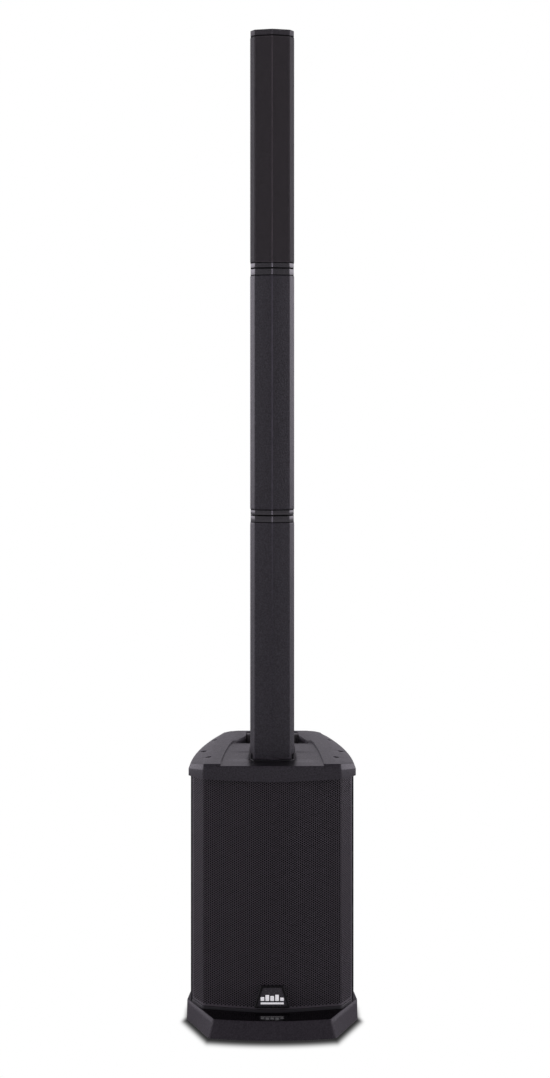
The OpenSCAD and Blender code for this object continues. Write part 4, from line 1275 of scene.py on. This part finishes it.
# CAD nodes kept as they are: node, material, edge softening
KEPT_NODES = (
    ("rubber_feet", "rubber", 0.5), ("foot_screws", "steel", 0.2), ("front_baffle", "wood", 0.6),
    ("port_tube", "dark", 0.6), ("grille_foam", "foam", 0), ("cap_screws", "blackscrew", 0.35),
    ("handle_tub", "dark", 0.8), ("socket_bezel", "dark", 0.7), ("column_socket", "dark", 0.5),
    ("socket_contacts", "brass", 0.15), ("woofer_basket", "basket", 0),
    ("woofer_magnet", "ferrite", 0.8), ("woofer_screws", "blackscrew", 0.2),
    ("amp_panel", "anodised", 0.4), ("amp_heatsink", "alu", 0.2), ("amp_board", "board", 0.3),
    ("power_supply", "psu", 0.5), ("panel_screws", "blackscrew", 0.2),
    ("input_jacks", "dark", 0.35), ("link_jack", "dark", 0.35), ("mains_inlet", "dark", 0.5),
    ("status_leds", "led", 0), ("speaker_cables", "wire", 0), ("woofer_cone", "paper", 0),
    ("woofer_dust_cap", "cap_paper", 0), ("woofer_coil", "copper", 0), ("knob_mic", "knob", 0.35),
    ("knob_line", "knob", 0.35), ("knob_sub", "knob", 0.35), ("button_pair", "btn_blue", 0.5),
    ("button_mode", "btn_grey", 0.5), ("power_rocker", "gloss", 0.6),
    ("lower_top_cap", "neck_shade", 0), ("lower_bottom_cap", "neck_shade", 0), ("lower_wiring", "brass", 0.15),
    ("middle_top_cap", "neck_shade", 0), ("middle_bottom_cap", "neck_shade", 0),
    ("middle_wiring", "brass", 0.15), ("top_end_cap", "neck_shade", 0), ("top_bottom_cap", "neck_shade", 0),
    ("top_wiring", "brass", 0.15), ("driver_frames", "basket", 0.2),
    ("driver_magnets", "ferrite", 0.5), ("array_cones", "paper", 0),
)
for entry in KEPT_NODES:
    repaint(*entry)

# ------------------------------------------------------------------ floor

SHADE_UNIT = 19.8297  # mm on the view plane for which "near" rises by 1
REAR_FADE = 5.15572  # mm added to the distance behind the foot's widest part


def view_plane(x, y):
    """A floor point as the camera sees it on the upright plane of the cap's front edge."""
    depth = CAMERA_BACK + y
    return CAMERA_BACK * x / depth, CAMERA_BACK * CAMERA_HEIGHT / depth


def floor_patch():
    """A grid round the foot; "near" is the seen distance to the foot's outline, 0 inside it."""
    xs = np.arange(-230, 230.1, 2.0)
    ys = np.arange(-112, 420.1, 4.0)
    gx, gy = np.meshgrid(xs, ys)
    u, v = view_plane(gx, gy)
    outline = np.array([view_plane(*p) for p in inset(FOOT_LOW, -0.5)])
    dist = np.full(u.shape, 1e9)
    inside = np.zeros(u.shape, bool)
    for a, b in zip(outline, np.roll(outline, -1, 0)):
        e = b - a
        t = np.clip(((u - a[0]) * e[0] + (v - a[1]) * e[1]) / (e @ e), 0, 1)
        dist = np.minimum(dist, np.hypot(u - a[0] - t * e[0], v - a[1] - t * e[1]))
        crosses = (a[1] > v) != (b[1] > v)
        inside ^= crosses & (u < (b[0] - a[0]) * (v - a[1]) / (b[1] - a[1] + 1e-12) + a[0])
    dist += np.clip((gy - 62) / 26, 0, 1) * REAR_FADE
    dist[inside] = 0
    nx, ny = len(xs), len(ys)
    verts = [to_m(p, 0.0) for p in zip(gx.ravel(), gy.ravel())]
    faces = [(j * nx + i, j * nx + i + 1, (j + 1) * nx + i + 1, (j + 1) * nx + i)
             for j in range(ny - 1) for i in range(nx - 1)]
    o = build("floor_near", verts, faces, smooth=0)
    near = o.data.attributes.new("near", "FLOAT", "POINT")
    near.data.foreach_set("value", (dist.ravel() / SHADE_UNIT).astype(np.float32))
    return o


def floor_mat(name, near):
    """White to the camera, with the contact shadow if near; a dimmer glow to other rays."""
    mat = bpy.data.materials.new(name)
    mat.use_nodes = True
    g = Graph(mat.node_tree, clear=True)
    seen, glow = g.node("Emission"), g.node("Emission")
    # the glow strengthens to both sides, then falls off; x in metres
    x = g.math("ABSOLUTE", g.split(g.node("TexCoord").outputs["Object"])["X"])
    rise, fall = g.step(x, 0.4, 2.5, 0.0, 0.14), g.step(x, 4.0, 9.0, 1.0, 0.7)
    g.feed(glow.inputs["Strength"], g.math("ADD", g.math("MULTIPLY", rise, fall), 0.27))
    g.feed(glow.inputs["Color"], (1.0, 0.95, 1.04))
    if near:
        attribute = g.node("Attribute", attribute_name="near")
        ramp = g.node("ValToRGB")
        elements = ramp.color_ramp.elements
        # position, brightness
        stops = [(0.0, 0.034), (0.1, 0.075), (0.2, 0.155), (0.3, 0.295), (0.4, 0.49),
                 (0.5, 0.68), (0.6, 0.835), (0.7, 0.94), (0.8, 0.985), (0.92, 1.0)]
        for i, (position, level) in enumerate(stops):
            stop = elements[i] if i < 2 else elements.new(position)
            stop.position = position
            stop.color = (level, level, level, 1)
        g.feed(ramp.inputs["Fac"], attribute.outputs["Fac"])
        g.feed(seen.inputs["Color"], ramp.outputs["Color"])
    g.output("OutputMaterial", glow, seen)
    return mat


patch = floor_patch()
patch.data.materials.append(floor_mat("floor_near", True))
floor_z = -0.0006
floor_corners = [(x, y, floor_z) for x, y in ((-12, -9), (12, -9), (12, 12), (-12, 12))]
floor = build("floor", floor_corners, [(0, 1, 2, 3)], smooth=0)
floor.data.materials.append(floor_mat("floor", False))

# ------------------------------------------------------------------ studio surround

SIDE, BACK, FRONT, BASE = 2.4, 0.45, 0.12, 0.14  # brightness of each part of the surround


def studio():
    """White to the camera; softboxes, backdrop and front wall to the object."""
    world = bpy.data.worlds.new("studio")
    bpy.context.scene.world = world
    world.use_nodes = True
    g = Graph(world.node_tree, clear=True)

    def times(a, b):
        return g.math("MULTIPLY", a, b)

    def plus(a, b):
        return g.math("ADD", a, b)

    direction = g.split(g.node("TexCoord").outputs["Generated"])
    dx, dy, dz = direction["X"], direction["Y"], direction["Z"]
    level = g.math("SQRT", plus(times(dx, dx), times(dy, dy)))
    sideways = g.math("DIVIDE", g.math("ABSOLUTE", dx), g.math("MAXIMUM", level, 0.0001))
    # tall softboxes left and right
    band = times(g.step(dz, -0.22, 0.10), g.step(dz, 0.62, 0.30))
    side = times(g.step(sideways, 0.55, 0.80), band)
    # backdrop behind the object
    back = times(g.step(dy, 0.45, 0.9), g.step(dz, 0.75, 0.25))
    # dim front wall
    front = times(g.step(dy, -0.2, -0.8), g.step(dz, 0.8, 0.1))
    light = plus(plus(times(side, SIDE), times(back, BACK)), plus(times(front, FRONT), BASE))
    tint = g.node("CombineColor")
    for i, value in enumerate((light, times(light, 0.94), times(light, 1.05))):
        g.feed(tint.inputs[i], value)
    lighting, seen = g.node("Background"), g.node("Background")
    g.feed(lighting.inputs["Color"], tint.outputs["Color"])
    g.feed(seen.inputs["Color"], (1, 1, 1))
    g.output("OutputWorld", lighting, seen)


studio()
bpy.context.scene.view_settings.view_transform = "Standard"
bpy.context.scene.view_settings.look = "None"

camera = bpy.data.cameras.new("camera")
camera.lens = 57.26
camera.sensor_width = 36.0
camera.shift_x = 0.0026
camera.shift_y = -0.1197
viewer = add_object("camera", camera)
viewer.location = (0.0, (FRONT_Y - CAMERA_BACK) * MM, CAMERA_HEIGHT * MM)
viewer.rotation_euler = (math.radians(90), 0, 0)
bpy.context.scene.camera = viewer
